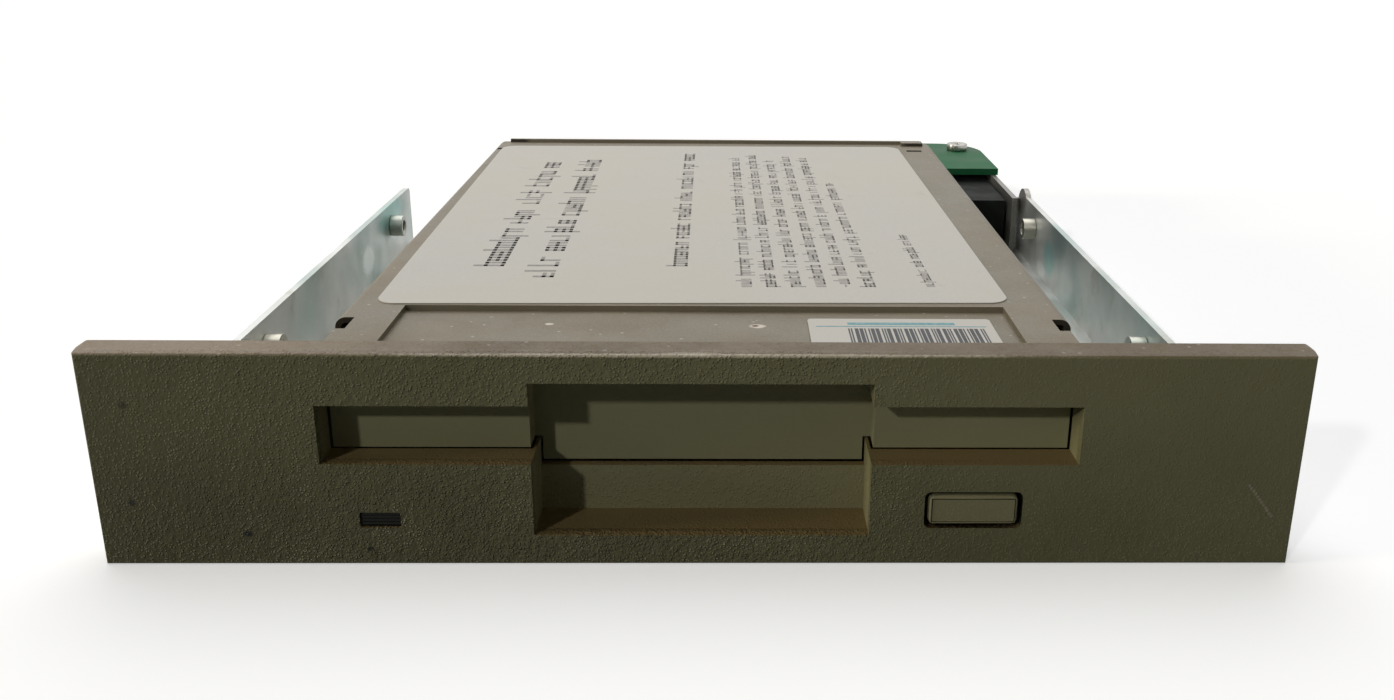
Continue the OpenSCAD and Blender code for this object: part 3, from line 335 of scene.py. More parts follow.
def grained_plastic(name, dark, light, pale, scale, depth, roughness, gloss=0.14, marks=(), gaps=(),
                    worn_side=0.0, smooth=None):
    """Moulded plastic: painted shade that runs from the dark colour at the left end and the bottom to the
    light one towards the right and the top, slow clouds, painted glints as paler dots in clusters, a dusty top
    and listed marks. The grain is weaker at the left end and towards the top, and falls by the share worn_side
    towards the right. Where a colour smooth is given, faces deeper than a millimetre behind the front take it
    and have less grain, and faces that look up take painted shade: brown low in the recesses and, on the top,
    a colour that darkens towards the right.
    In a listed gap, faces that don't look to the front are painted black as shade."""
    finish = Finish(name, roughness, specular=gloss)
    grain = finish.effect("grain", Scale=scale)
    dust = finish.effect("dust", Amount=0.3)
    proud = finish.step("Y", 1, 2, 1.0, 0.0)
    high = finish.step("Z", 25, 27)
    relief = finish.times(finish.step("X", 4, 40, 1.0, 1.0 - worn_side), finish.step("Z", 3, 18, 1.4, 0.65))
    relief = finish.times(relief, finish.step("X", -75, -35, 0.55, 1.0))
    # Painted shade: darker at the left end and the bottom, lighter towards the right and the top.
    across = finish.plus(finish.step("X", -75, -40, 0.0, 0.3), finish.step("X", -40, 45, 0.0, 0.25))
    painted_shade_ramp = finish.plus(across, finish.step("Z", 3, 27, -0.1, 0.4))
    cloud = finish.ramp(grain["Cloud"], 0.3, 0.7, -0.12, 0.12)
    tone = finish.mix(finish.plus(painted_shade_ramp, cloud, True), dark, light)
    # Painted glints: pale dots in clusters where the grain stands out.
    tone = finish.mix(finish.times(grain["Speck"], finish.times(relief, 0.6)), tone, pale)
    if smooth:
        tone = finish.mix(proud, smooth, tone)
        relief = finish.times(relief, finish.plus(finish.times(proud, 0.8), 0.2))
        # Painted shade on faces that look up: brown low in the recesses, and on the top a colour that darkens
        # towards the right.
        top = finish.mix(finish.step("X", -60, -25), (131, 114, 94), (84, 66, 44))
        painted_up_shade = finish.ramp(finish.facing("Z"), 0.3, 0.9, 0.0, 0.85)
        tone = finish.mix(painted_up_shade, tone, finish.mix(high, (126, 106, 69), top))
    tone = finish.mix(finish.times(dust["Mask"], high), tone, (152, 138, 122))
    tone = finish.mix(finish.times(dust["Grains"], high), tone, (196, 188, 176))
    tone = finish.marked(tone, marks)
    # Painted shade: faces that don't look to the front go black inside each listed gap.
    for centre, size in gaps:
        wall = finish.ramp(finish.facing("Y"), -0.9, -0.4)
        tone = finish.mix(finish.times(finish.mark(centre, size), wall), tone, (10, 9, 7))
    rough = finish.ramp(grain["Height"], 0.3, 0.9, roughness - 0.1, roughness + 0.12)
    return finish.done(tone, rough, finish.times(grain["Height"], relief), depth)


def bezel_finish():
    """The bezel's plastic, with the specks, scratch and scuffs that its front shows, a painted highlight along
    the top front edge and painted shade in the gap round the button.
    """
    soot, scuff = (8, 7, 5), (176, 168, 150)
    marks = [
        ((-69.5, 0, 21.6), (0.8, 1, 0.65), soot, 0.6),
        ((-70.2, 0, 8.6), (0.55, 1, 0.55), soot, 0.95),
        ((-56.5, 0, 4.3), (0.85, 1, 0.55), soot, 1.0),
        ((-41.5, 0, 2.2), (0.6, 1, 0.4), soot, 1.0),
        ((-1.4, 0.6, 28), (5.5, 0.7, 0.5), scuff, 0.5),
        ((18.0, 0.4, 28), (1.2, 0.5, 0.4), scuff, 0.4),
        # Painted highlight along the top front edge.
        ((-2, 0.2, 28.1), (50, 0.4, 0.4), (196, 186, 166), 0.7),
    ]
    scratch = [((68.5 + 0.3 * k, 0, 11.0 - 0.38 * k), (0.26, 1, 0.3), scuff, 0.4) for k in range(12)]
    # Painted shade in the gap round the button.
    button_gap_shade = [((34, 2, 7.6), (13.6, 8, 4.6))]
    return grained_plastic("bezel_plastic", (83, 81, 55), (120, 118, 87), (200, 193, 158),
                           2700.0, 0.45, 0.5, 0.17, marks + scratch, button_gap_shade, 0.8, (134, 130, 97))


def steel(name, colour, dark, roughness, across, along, depth, metallic=0.85, dusty=0.25, marks=()):
    """Bare or plated sheet: rolling marks, a cloudy tone, spots, a little dust and listed marks."""
    finish = Finish(name, roughness, metallic, 0.4)
    sheet = finish.effect("sheet", Across=across, Along=along)
    dust = finish.effect("dust", Amount=dusty)
    tone = finish.mix(finish.ramp(sheet["Tone"], 0.3, 0.7), dark, colour)
    tone = finish.mix(finish.times(sheet["Spot"], 0.35), tone, dark)
    tone = finish.mix(dust["Mask"], tone, (150, 144, 130))
    tone = finish.marked(tone, marks)
    fine = finish.ramp(sheet["Height"], 0.25, 0.75, roughness - 0.07, roughness + 0.09)
    rough = finish.plus(fine, finish.times(dust["Mask"], 0.3), True)
    return finish.done(tone, rough, sheet["Height"], depth)


def cover_finish():
    """The cover's satin coat: warm grey with fine speckle, smears, small dark spots, paler dust, painted light
    that makes faces looking to the front paler, painted shade on those faces in the side lances, and chips
    down to a pale undercoat, one with a brown heart."""
    finish = Finish("cover_steel", 0.5, 0.25, 0.3)
    sheet = finish.effect("sheet", Across=700.0, Along=110.0)
    dust = finish.effect("dust", Amount=0.25)
    speckle = finish.noise(3200.0, 2.0, 0.6)
    tone = finish.mix(finish.ramp(sheet["Tone"], 0.3, 0.7), (98, 90, 73), (108, 99, 81))
    tone = finish.mix(finish.ramp(speckle, 0.4, 0.75, 0.0, 0.35), tone, (136, 127, 108))
    tone = finish.mix(finish.times(sheet["Spot"], 0.4), tone, (84, 76, 62))
    tone = finish.mix(dust["Mask"], tone, (140, 132, 116))
    tone = finish.mix(dust["Grains"], tone, (210, 206, 198))
    # Painted light and shade on faces that look to the front: paler in the middle, near black in the side
    # lances.
    aside = finish.number("ABSOLUTE", finish.along("X"))
    front_light_and_lance_shade = finish.mix(finish.ramp(aside, 43 * MM, 45 * MM), (126, 119, 102), (26, 23, 18))
    tone = finish.mix(finish.ramp(finish.facing("Y"), -0.9, -0.4, 0.8, 0.0), tone, front_light_and_lance_shade)
    chips = [((7.2, 22.1, PANEL_Z), (1.5, 1.1, 0.8), (192, 180, 164), 1.0),
             ((6.9, 22.2, PANEL_Z), (0.7, 0.55, 0.8), (70, 48, 34), 1.0),
             ((-21.4, 22.7, PANEL_Z), (0.8, 0.6, 0.8), (186, 178, 162), 1.0)]
    tone = finish.marked(tone, chips)
    rough = finish.ramp(sheet["Tone"], 0.3, 0.7, 0.42, 0.6)
    height = finish.plus(finish.times(speckle, 0.6), finish.times(sheet["Height"], 0.4))
    return finish.done(tone, rough, height, 0.02)


def paper_finish():
    """Label stock: off-white paper with fibres, slow yellowing, faint creases and grey rub marks."""
    finish = Finish("label_paper", 0.58, 0.0, 0.3)
    fibre = finish.noise(2600.0, 4.0, 0.65)
    slow = finish.noise(28.0, 4.0, 0.55)
    rub = finish.noise(140.0, 6.0, 0.7)
    tone = finish.mix(finish.ramp(slow, 0.35, 0.65), (198, 193, 181), (204, 201, 194))
    tone = finish.mix(finish.ramp(fibre, 0.35, 0.7, 0.0, 0.25), tone, (188, 182, 172))
    tone = finish.mix(finish.ramp(rub, 0.6, 0.78, 0.0, 0.35), tone, (168, 162, 152))
    height = finish.plus(finish.times(fibre, 0.3), finish.times(slow, 2.0))
    return finish.done(tone, finish.ramp(slow, 0.3, 0.7, 0.5, 0.64), height, 0.03)


def ink_finish(name, colour, thin):
    """Print that has worn thin: ink colour broken up towards the paper by a fine noise."""
    finish = Finish(name, 0.55, 0.0, 0.3)
    worn = finish.noise(1500.0, 5.0, 0.7)
    return finish.done(finish.mix(finish.ramp(worn, 0.42, 0.72), colour, thin),
                       finish.ramp(worn, 0.3, 0.7, 0.48, 0.62), worn, 0.01)


def zinc_finish(name, base, amount, roughness, metallic, marks=()):
    """Passivated zinc plate on steel: teal and straw bands, rolling marks, pale spots and listed marks."""
    finish = Finish(name, roughness, metallic, 0.5)
    colour = finish.effect("passivation", Base=srgb(*base), Amount=amount)
    sheet = finish.effect("sheet", Across=260.0, Along=420.0)
    dust = finish.effect("dust", Amount=0.3)
    tone = finish.mix(finish.ramp(sheet["Tone"], 0.35, 0.7, 0.0, 0.3), colour["Colour"], (134, 136, 132))
    tone = finish.mix(finish.times(sheet["Spot"], 0.35), tone, (206, 208, 204))
    tone = finish.mix(dust["Mask"], tone, (178, 172, 160))
    tone = finish.marked(tone, marks)
    rough = finish.ramp(colour["Tone"], 0.3, 0.75, roughness - 0.08, roughness + 0.12)
    return finish.done(tone, rough, sheet["Height"], 0.008)


def bracket_finish():
    """The brackets' plate, with painted pale and teal highlights inside both walls and painted shade that
    dulls the rear arm.
    """
    pale, teal = (236, 240, 238), (120, 190, 184)
    marks = [
        # Painted highlights: pale and teal inside both walls.
        ((-71.8, 112, 7.6), (1, 5.5, 4.0), pale, 0.8),
        ((-71.8, 131, 12.5), (1.5, 14, 3.5), teal, 0.5),
        ((71.8, 117, 7.2), (1, 6, 5.0), teal, 0.6),
        ((71.8, 123, 3.0), (1, 5, 2.2), pale, 0.6),
        # Painted shade: duller grey over the rear arm and beside its bend.
        ((69.9, 170, 8.0), (2.6, 52, 30), (98, 94, 86), 0.85),
        ((72.4, 147, 14.0), (3, 8, 6), (112, 106, 98), 0.75),
    ]
    return zinc_finish("zinc_steel", (206, 208, 204), 0.6, 0.38, 0.6, marks)


def board_finish(name, mask, track, dark, lines_seen, pads_seen, roughness):
    """Circuit board: tracks that lift the solder mask, tinned pads, cloudy green and dust. Its tracks are
    seen by a share and its pads or not, and the corner beside the drive has no tracks."""
    finish = Finish(name, roughness, 0.0, 0.06)
    lines = finish.effect("tracks", Pitch=390.0)
    dust = finish.effect("dust", Amount=0.25)
    tracks = finish.times(lines["Track"], finish.step("X", 50, 53, lines_seen, 0.0))
    tone = finish.mix(finish.ramp(lines["Tone"], 0.35, 0.65), dark, mask)
    tone = finish.mix(tracks, tone, track)
    height = tracks
    if pads_seen:
        tone = finish.mix(lines["Pad"], tone, (176, 176, 166))
        height = finish.plus(tracks, finish.times(lines["Pad"], 1.5))
    tone = finish.mix(finish.times(dust["Mask"], 0.6), tone, (128, 138, 122))
    rough = finish.ramp(lines["Tone"], 0.3, 0.7, roughness - 0.08, roughness + 0.08)
    return finish.done(tone, rough, height, 0.035)


def plain_moulding(name, colour, pale, roughness, scale=1500.0, depth=0.012, gloss=0.4):
    """Small mouldings and coatings: fine grain, faint flow marks and worn paler patches."""
    finish = Finish(name, roughness, 0.0, gloss)
    grain = finish.effect("grain", Scale=scale)
    flow = finish.noise(160.0, 4.0, 0.6)
    tone = finish.mix(finish.ramp(flow, 0.4, 0.75, 0.0, 0.5), colour, pale)
    tone = finish.mix(finish.times(grain["Speck"], 0.25), tone, pale)
    rough = finish.ramp(flow, 0.3, 0.7, roughness - 0.08, roughness + 0.1)
    return finish.done(tone, rough, grain["Height"], depth)


def lens_finish():
    """Smoked lens: dark and glossy, with fine level ribs and wiping marks."""
    finish = Finish("smoked_lens", 0.3, 0.0, 0.08)
    wipe = finish.effect("sheet", Across=900.0, Along=900.0)
    ribs = finish.ramp(finish.waves("Z", 0.45), -0.6, 0.8)
    tone = finish.mix(finish.ramp(wipe["Tone"], 0.3, 0.7), (20, 22, 19), (28, 29, 26))
    tone = finish.mix(finish.times(ribs, 0.5), tone, (50, 50, 44))
    return finish.done(tone, finish.ramp(wipe["Height"], 0.3, 0.7, 0.26, 0.42), ribs, 0.05)


def wire_finish(name, colour, dark, roughness):
    """Drawn wire and tinned or gilt metal: bright, with fine darker marks."""
    finish = Finish(name, roughness, 1.0, 0.5)
    draw = finish.noise(1800.0, 3.0, 0.6)
    return finish.done(finish.mix(finish.ramp(draw, 0.35, 0.75), colour, dark),
                       finish.ramp(draw, 0.3, 0.7, roughness - 0.08, roughness + 0.12), draw, 0.008)


def film_finish():
    """Amber film of a flat cable, with copper lines that run along it."""
    finish = Finish("polyimide_film", 0.3, 0.0, 0.5)
    lines = finish.ramp(finish.waves("X", 0.8), -0.1, 0.3)
    cloud = finish.noise(300.0, 3.0, 0.5)
    tone = finish.mix(lines, (150, 84, 26), (196, 122, 56))
    tone = finish.mix(finish.ramp(cloud, 0.4, 0.7, 0.0, 0.3), tone, (120, 66, 20))
    return finish.done(tone, finish.ramp(cloud, 0.3, 0.7, 0.24, 0.36), lines, 0.02)


def make_materials():
    """Every finish by name."""
    sheet = ((168, 168, 162), (132, 131, 125), 0.36, 1500.0, 60.0, 0.012)
    # Painted shade: the deck goes near black under the cover's side lances.
    lance_shade = [((side * 49, 23, 19), (7, 14, 12), (10, 10, 9), 1.0) for side in (-1, 1)]
    return {
        "bezel": bezel_finish(),
        "flap": grained_plastic("flap_plastic", (134, 132, 99), (146, 144, 110), (156, 153, 120),
                                2600.0, 0.012, 0.55),
        "button": grained_plastic("button_plastic", (126, 122, 92), (144, 140, 108), (166, 161, 130),
                                  3200.0, 0.025, 0.56),
        "lens": lens_finish(),
        "lamp": plain_moulding("lamp_epoxy", (120, 168, 84), (150, 190, 110), 0.25, 600.0, 0.005),
        "cover": cover_finish(),
        "paper": paper_finish(),
        "ink": ink_finish("grey_ink", (130, 126, 121), (168, 164, 157)),
        "black_ink": ink_finish("black_ink", (38, 38, 42), (70, 70, 72)),
        "teal_ink": ink_finish("teal_ink", (96, 150, 158), (150, 180, 180)),
        "zinc": bracket_finish(),
        "nut": zinc_finish("nut_steel", (168, 165, 152), 0.3, 0.34, 0.8),
        "deck": steel("deck_steel", *sheet, marks=lance_shade),
        "sheet": steel("sheet_steel", *sheet),
        "screw": steel("screw_steel", (186, 185, 178), (142, 140, 132), 0.27, 1200.0, 1200.0, 0.012,
                       1.0, 0.1),
        "motor": steel("motor_steel", (142, 142, 144), (108, 108, 110), 0.3, 1400.0, 50.0, 0.01, 1.0),
        "spring": wire_finish("spring_wire", (196, 195, 190), (140, 138, 132), 0.25),
        "copper": wire_finish("copper_wire", (196, 112, 62), (132, 66, 34), 0.32),
        "gold": wire_finish("pin_gold", (214, 176, 96), (168, 128, 62), 0.26),
        "bronze": wire_finish("bronze", (182, 148, 92), (128, 98, 58), 0.34),
        "solder": wire_finish("solder_tin", (190, 192, 190), (138, 140, 138), 0.3),
        "nylon": plain_moulding("white_nylon", (214, 210, 196), (226, 223, 212), 0.46),
        "black": plain_moulding("black_plastic", (34, 33, 31), (52, 50, 47), 0.5),
        "socket": plain_moulding("socket_plastic", (23, 26, 23), (38, 40, 36), 0.72, gloss=0.12),
        "chip": plain_moulding("chip_epoxy", (44, 44, 46), (70, 70, 68), 0.55, 2600.0, 0.015),
        "ceramic": plain_moulding("part_ceramic", (150, 118, 84), (176, 146, 112), 0.5, 2400.0, 0.01),
        "ferrite": plain_moulding("head_ferrite", (82, 82, 88), (108, 108, 112), 0.35, 2000.0, 0.006),
        "green": board_finish("board_green", (38, 100, 64), (66, 128, 88), (31, 86, 54), 0.7, False, 0.5),
        "dark_green": board_finish("board_dark_green", (40, 84, 58), (66, 112, 78), (28, 66, 44),
                                   0.6, True, 0.36),
        "film": film_finish(),
    }


FINISH_OF_NODE = {
    "bezel": ("bezel",), "flap": ("slot_flap",), "button": ("eject_button",), "lens": ("led_lens",),
    "lamp": ("activity_led",), "cover": ("top_cover",), "paper": ("cover_label", "barcode_label"),
    "zinc": ("left_bracket", "right_bracket"), "nut": ("left_press_nuts", "right_press_nuts"),
    "deck": ("chassis",), "sheet": ("disk_holder", "slide_plate", "rod_clamps"),
    "screw": ("cover_screws", "bracket_screws", "board_screws", "adapter_screws", "drive_pin", "guide_rods",
              "arm_hinge_pin", "follower_pin", "latch_pivot"),
    "motor": ("rotor", "stepper_motor", "spindle_hub"),
    "spring": ("flap_spring", "latch_spring", "arm_spring", "left_slide_spring", "right_slide_spring"),
    "copper": ("motor_coils",), "bronze": ("spindle_bearing", "lead_screw"),
    "nylon": ("latch_lever", "protect_plunger", "density_plunger", "presence_plunger", "power_connector"),
    "black": ("data_connector", "switch_block", "track_sensor", "index_sensor", "head_carriage", "head_arm",
              "screw_bearing"),
    "socket": ("adapter_socket", "adapter_header", "adapter_power_inlet"),
    "chip": ("logic_chips",), "ferrite": ("lower_head", "upper_head"),
    "green": ("adapter_board",), "dark_green": ("motor_board", "logic_board"), "film": ("head_flex_cable",),
}

# Width of the rounded edges in millimetres, where it isn't the usual one
USUAL_EDGE = 0.12
EDGE_OF_NODE = {"bezel": 0.16, "slot_flap": 0.18, "eject_button": 0.3, "top_cover": 0.2, "cover_label": 0.04,
                "barcode_label": 0.04, "left_press_nuts": 0.3, "right_press_nuts": 0.3, "rotor": 0.3,
                "spindle_hub": 0.4, "lead_screw": 0, "adapter_screws": 0.35, "cover_screws": 0.3,
                "bracket_screws": 0.35, "board_screws": 0.25, "led_lens": 0.1}


def dress_nodes(nodes):
    """Gives each CAD node its finish, and rounds its edges by modifiers that leave its mesh alone."""
    for finish, names in FINISH_OF_NODE.items():
        for name in names:
            node = nodes[name]
            node.data.materials.clear()
            node.data.materials.append(FINISHES[finish])
            soften(node, EDGE_OF_NODE.get(name, USUAL_EDGE))


def soften(piece, width):
    """Merges loose triangles, joins flat ones and rounds the sharp edges by a width in millimetres."""
    piece.data.polygons.foreach_set("use_smooth", np.ones(len(piece.data.polygons), bool))
    weld = piece.modifiers.new("weld", "WELD")
    weld.merge_threshold = 2e-6
    if not width:
        return
    flat = piece.modifiers.new("flat", "DECIMATE")
    flat.decimate_type, flat.angle_limit = "DISSOLVE", math.radians(1.5)
    edge = bevel(piece, width)
    edge.limit_method, edge.angle_limit = "ANGLE", math.radians(32)
    normals = piece.modifiers.new("normals", "WEIGHTED_NORMAL")
    normals.weight = 80


def bevel(piece, width, segments=2):
    """Rounds a piece's edges by a width in millimetres."""
    edge = piece.modifiers.new("edge", "BEVEL")
    edge.width, edge.segments = width * MM, segments
    return edge


# Surfaces

def add_piece(name, shape, finish, body="frame", smooth=True, replaces=()):
    """A new piece from its design points and faces, with a finish by name, riding on a body if it has one."""
    points, faces = shape
    mesh = bpy.data.meshes.new(name)
    mesh.from_pydata(place(points).tolist(), [], faces)
    mesh.polygons.foreach_set("use_smooth", np.full(len(mesh.polygons), smooth))
    mesh.materials.append(FINISHES[finish])
    mesh.update()
    piece = bpy.data.objects.new(name, mesh)
    bpy.context.scene.collection.objects.link(piece)
    if body:
        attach(piece, body)
    if replaces:
        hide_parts(*replaces)
    return piece


def ring_angles(count):
    """Angles of a ring's points."""
    return np.linspace(0, 2 * np.pi, count, endpoint=False)


def unit(vectors):
    """Rows of vectors at length one."""
    return vectors / np.linalg.norm(vectors, axis=1, keepdims=True)


def grid_quads(rows, columns, closed=False):
    """Quads between neighbouring rows of a grid whose columns close into a ring, as its rows do where
    closed is set."""
    row, column = np.meshgrid(np.arange(rows if closed else rows - 1), np.arange(columns), indexing="ij")
    here, below = row * columns, (row + 1) % rows * columns
    beside = (column + 1) % columns
    quads = np.stack([here + column, here + beside, below + beside, below + column], -1)
    return quads.reshape(-1, 4).tolist()


def tube(rings):
    """Points and faces of a tube through a stack of rings, with both ends closed."""
    count, sides = rings.shape[:2]
    ends = [list(range(sides))[::-1], list(range((count - 1) * sides, count * sides))]
    return rings.reshape(-1, 3), grid_quads(count, sides) + ends


def swept(path, radius, sides=8, reference=(0, 0, 1)):
    """A round wire along a path: each ring is centre + radius * (cos a * side + sin a * up), where side is
    the reference axis less its part along the path, and up is the path's direction crossed with side."""
    along = unit(np.gradient(path, axis=0))
    axis = np.asarray(reference, float)
    side = unit(axis - along * (along @ axis)[:, None])
    up = np.cross(along, side)
    angle = ring_angles(sides)[None, :, None]
    return tube(path[:, None] + radius * (np.cos(angle) * side[:, None] + np.sin(angle) * up[:, None]))


def turned(profile, centre, axis, count):
    """A turned piece: a closed loop of (radius, height) pairs carried round an axis through a centre. The
    loop stays off the axis, so the surface closes on itself like a ring."""
    radius, height = np.asarray(profile, float).T[:, :, None, None]
    first, second, axle = np.roll(np.eye(3), -1 - axis, 0)
    angle = ring_angles(count)[:, None]
    points = radius * (np.cos(angle) * first + np.sin(angle) * second) + height * axle
    return (points + np.asarray(centre, float)).reshape(-1, 3), grid_quads(len(profile), count, True)


def spans(x, y, z):
    """Closed boxes from pairs of lows and highs along the three axes, which are numbers or lists: corner k
    takes x, y or z from the highs where bit 0, 1 or 2 of k is set."""
    lows, highs = (np.stack(np.broadcast_arrays(x[end], y[end], z[end]), -1) for end in (0, 1))
    lows, highs = np.atleast_2d(lows), np.atleast_2d(highs)
    bits = (np.arange(8)[:, None] >> np.arange(3)) & 1
    points = np.where(bits[None], highs[:, None], lows[:, None]).reshape(-1, 3)
    sides = [[0, 2, 3, 1], [4, 5, 7, 6], [0, 1, 5, 4], [2, 6, 7, 3], [0, 4, 6, 2], [1, 3, 7, 5]]
    return points, repeated(sides, 8, len(lows))


def repeated(faces, points_each, count):
    """Faces of one piece with a number of points, for a count of such pieces one after another."""
    faces = np.asarray(faces)
    return (faces[None] + points_each * np.arange(count)[:, None, None]).reshape(-1, faces.shape[1]).tolist()


def joined(parts):
    """Several point and face lists as one."""
    points, faces, count = [], [], 0
    for part_points, part_faces in parts:
        points.append(part_points)
        faces += [[index + count for index in face] for face in part_faces]
        count += len(part_points)
    return np.concatenate(points), faces


def helix(centre, axis, radius, length, turns, per_turn=20):
    """Points of a coil: radius * (cos t, sin t) round an axis, while the height grows evenly with t."""
    t = np.linspace(0, 1, int(turns * per_turn) + 1)
    angle = 2 * np.pi * turns * t
    first, second = [(1, 2), (2, 0), (0, 1)][axis]
    points = np.zeros((len(t), 3))
    points[:, first], points[:, second] = radius * np.cos(angle), radius * np.sin(angle)
    points[:, axis] = length * t
    return points + np.asarray(centre, float)


# Pieces

def add_springs():
    """Coil springs in place of the plain CAD ones: each wire is a helix, and the slide's springs have
    straight legs."""
    along_x = (1, 0, 0)
    for side, name in ((-1, "left"), (1, "right")):
        x, z = side * SLIDE_SPRING_X, SLIDE_SPRING_Z
        coil = helix((x, 69.2, z), 1, 0.92, 20.6, 17, 14)
        front = np.linspace((x, 68.05, z), coil[0], 5, endpoint=False)
        back = np.linspace(coil[-1], (x, 90.95, z), 5)[1:]
        wire = swept(np.concatenate([front, coil, back]), 0.16, 6, along_x)
        piece = add_piece(f"{name}_slide_coil", wire, "spring",
                          replaces=[f"{name}_slide_spring"])
        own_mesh(piece)
    flap = swept(helix((43.15, HINGE_Y, HINGE_Z), 0, 1.3, 1.4, 4), 0.14, 8, along_x)
    latch = swept(helix((LATCH_X, LATCH_Y, 10.95), 2, 2.1, 1.2, 3), 0.22)
    arm = swept(helix((-10.7, ARM_PIN_Y, ARM_PIN_Z), 0, 1.5, 1.5, 4), 0.18, 8, along_x)
    add_piece("flap_coil", flap, "spring", replaces=["flap_spring"])
    add_piece("latch_coil", latch, "spring", replaces=["latch_spring"])
    add_piece("arm_coil", arm, "spring", "carriage", replaces=["arm_spring"])


def add_windings():
    """Twelve wound coils: a ring profile whose outer side is a row of half-round turns of wire."""
    turns, low, high, bore, circle = 12, 3.42, 7.15, 0.7, 15.3
    t = np.linspace(0, 1, turns * 6 + 1)
    outer = np.stack([2.35 + 0.22 * np.abs(np.sin(np.pi * turns * t)), low + (high - low) * t], -1)
    profile = np.concatenate([[(bore, low)], outer, [(bore, high)]])
    rings = [turned(profile, (circle * math.cos(angle), SPINDLE_Y + circle * math.sin(angle), 0), 2, 18)
             for angle in ring_angles(12)]
    add_piece("wound_coils", joined(rings), "copper", replaces=["motor_coils"])


def add_nut_threads():
    """Thread ridges in the four mounting bores: a fine helix along X on the bore's wall."""
    ridges = [swept(helix((low, y, 10), 0, 1.24, 3.6, 7, 16), 0.11, 4, (1, 0, 0))
              for low in (-72.8, 69.2) for y in (52.2, 131.45)]
    add_piece("nut_threads", joined(ridges), "nut")


def add_motor_cap():
    """Rear of the stepper motor: a raised bearing boss in a rolled rim, as rings of (radius, depth) pairs."""
    boss = [(0.7, -0.02), (2.9, -0.02), (2.9, 0.45), (2.6, 0.7), (1.2, 0.7), (0.7, 0.35)]
    rim = [(6.3, -0.02), (7.3, -0.02), (7.2, 0.22), (6.8, 0.34), (6.4, 0.22)]
    rings = [turned(profile, (STEPPER_X, STEPPER_REAR, STEPPER_Z), 1, 48) for profile in (boss, rim)]
    add_piece("motor_cap", joined(rings), "motor")


def add_boxes():
    """Pieces made of boxes: the bend that joins the right bracket's outer wall to its rear arm, a black
    guide of two sides, a top and a bottom round the button's stem, and felt strips that close the slit
    between the cover's front edge and the bezel and both ends of the slot."""
    bend = spans((70.45, 71.85), (147.4, 148.6), (1.15, 13.4))
    guide = spans(((27.2, 38.3, 29.7, 29.7), (29.7, 40.8, 38.3, 38.3)), (BEHIND_BEZEL, 11.9),
                  ((4.6, 4.6, 9.2, 4.6), (10.6, 10.6, 10.6, 6.0)))
    strips = spans(((-42, -48, 47.2), (42, -47.2, 48)), (BEHIND_BEZEL, (5.47, 12.3, 12.3)),
                   ((23.7, 10.9, 10.9), (24.4, 19.5, 19.5)))
    bevel(add_piece("arm_joggle", bend, "zinc", smooth=False), USUAL_EDGE)
    add_piece("button_guide", guide, "black", smooth=False)
    bevel(add_piece("dust_seal", strips, "black", smooth=False), USUAL_EDGE)


def rows_of(x, y, count, lines, pitch=2.54):
    """Places in a block of rows, centred on x, with its first line at y."""
    i, row = np.meshgrid(np.arange(count), np.arange(lines), indexing="ij")
    return (x + (i - (count - 1) / 2) * pitch).ravel(), (y + row * pitch).ravel()


def add_pins():
    """Gilt sleeves over the contact pins of the three connectors, each a little wider than its pin."""
    half = 0.36
    rows = [("data_pins", rows_of(21.0, 6.53, 17, 2), (144.9, 151.6)),
            ("power_pins", rows_of(-38.5, 6.2, 4, 1), (142.9, 151.6)),
            ("adapter_pins", rows_of(21.0, 8.41, 17, 2), (195.6, 202.3))]
    for name, (x, z), ends in rows:
        sleeves = spans((x - half, x + half), ends, (z - half, z + half))
        bevel(add_piece(name, sleeves, "gold", smooth=False), 0.14, 1)


def add_flex():
    """Flat head cable: a strip carried along a path that arches back from the carriage and drops to the
    board. The path's middle is a half sine arch, and its rear end turns down on a quarter circle."""
    left, right, half_thick = 2.2, 9.8, 0.07
    t = np.linspace(0, 1, 30)
    turn = np.linspace(np.pi / 2, 0, 8)[1:]
    y = np.concatenate([131.35 + 6.4 * t, 137.75 + 0.9 * np.cos(turn), np.full(8, 138.65)])
    z = np.concatenate([9.72 + 1.1 * np.sin(np.pi * t), 8.82 + 0.9 * np.sin(turn), np.linspace(8.6, 3.42, 8)])
    path = np.stack([np.zeros_like(y), y, z], -1)
    out = np.cross((1, 0, 0), unit(np.gradient(path, axis=0))) * half_thick
    corners = ((1, left), (1, right), (-1, right), (-1, left))
    strip = tube(np.stack([path + face * out + (x, 0, 0) for face, x in corners], 1))
    piece = add_piece("head_flex", strip, "film", None, replaces=["head_flex_cable"])
    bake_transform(piece)


def label_points(along, across):
    """Places on the large label: along runs from its rear edge to the front, across from its left edge to
    the right, in millimetres, turned with the label about its centre."""
    turn = math.radians(LABEL_TURN)
    x, y = across - LABEL_W / 2, LABEL_L / 2 - along
    cosine, sine = math.cos(turn), math.sin(turn)
    return LABEL_X + x * cosine - y * sine, LABEL_Y + x * sine + y * cosine


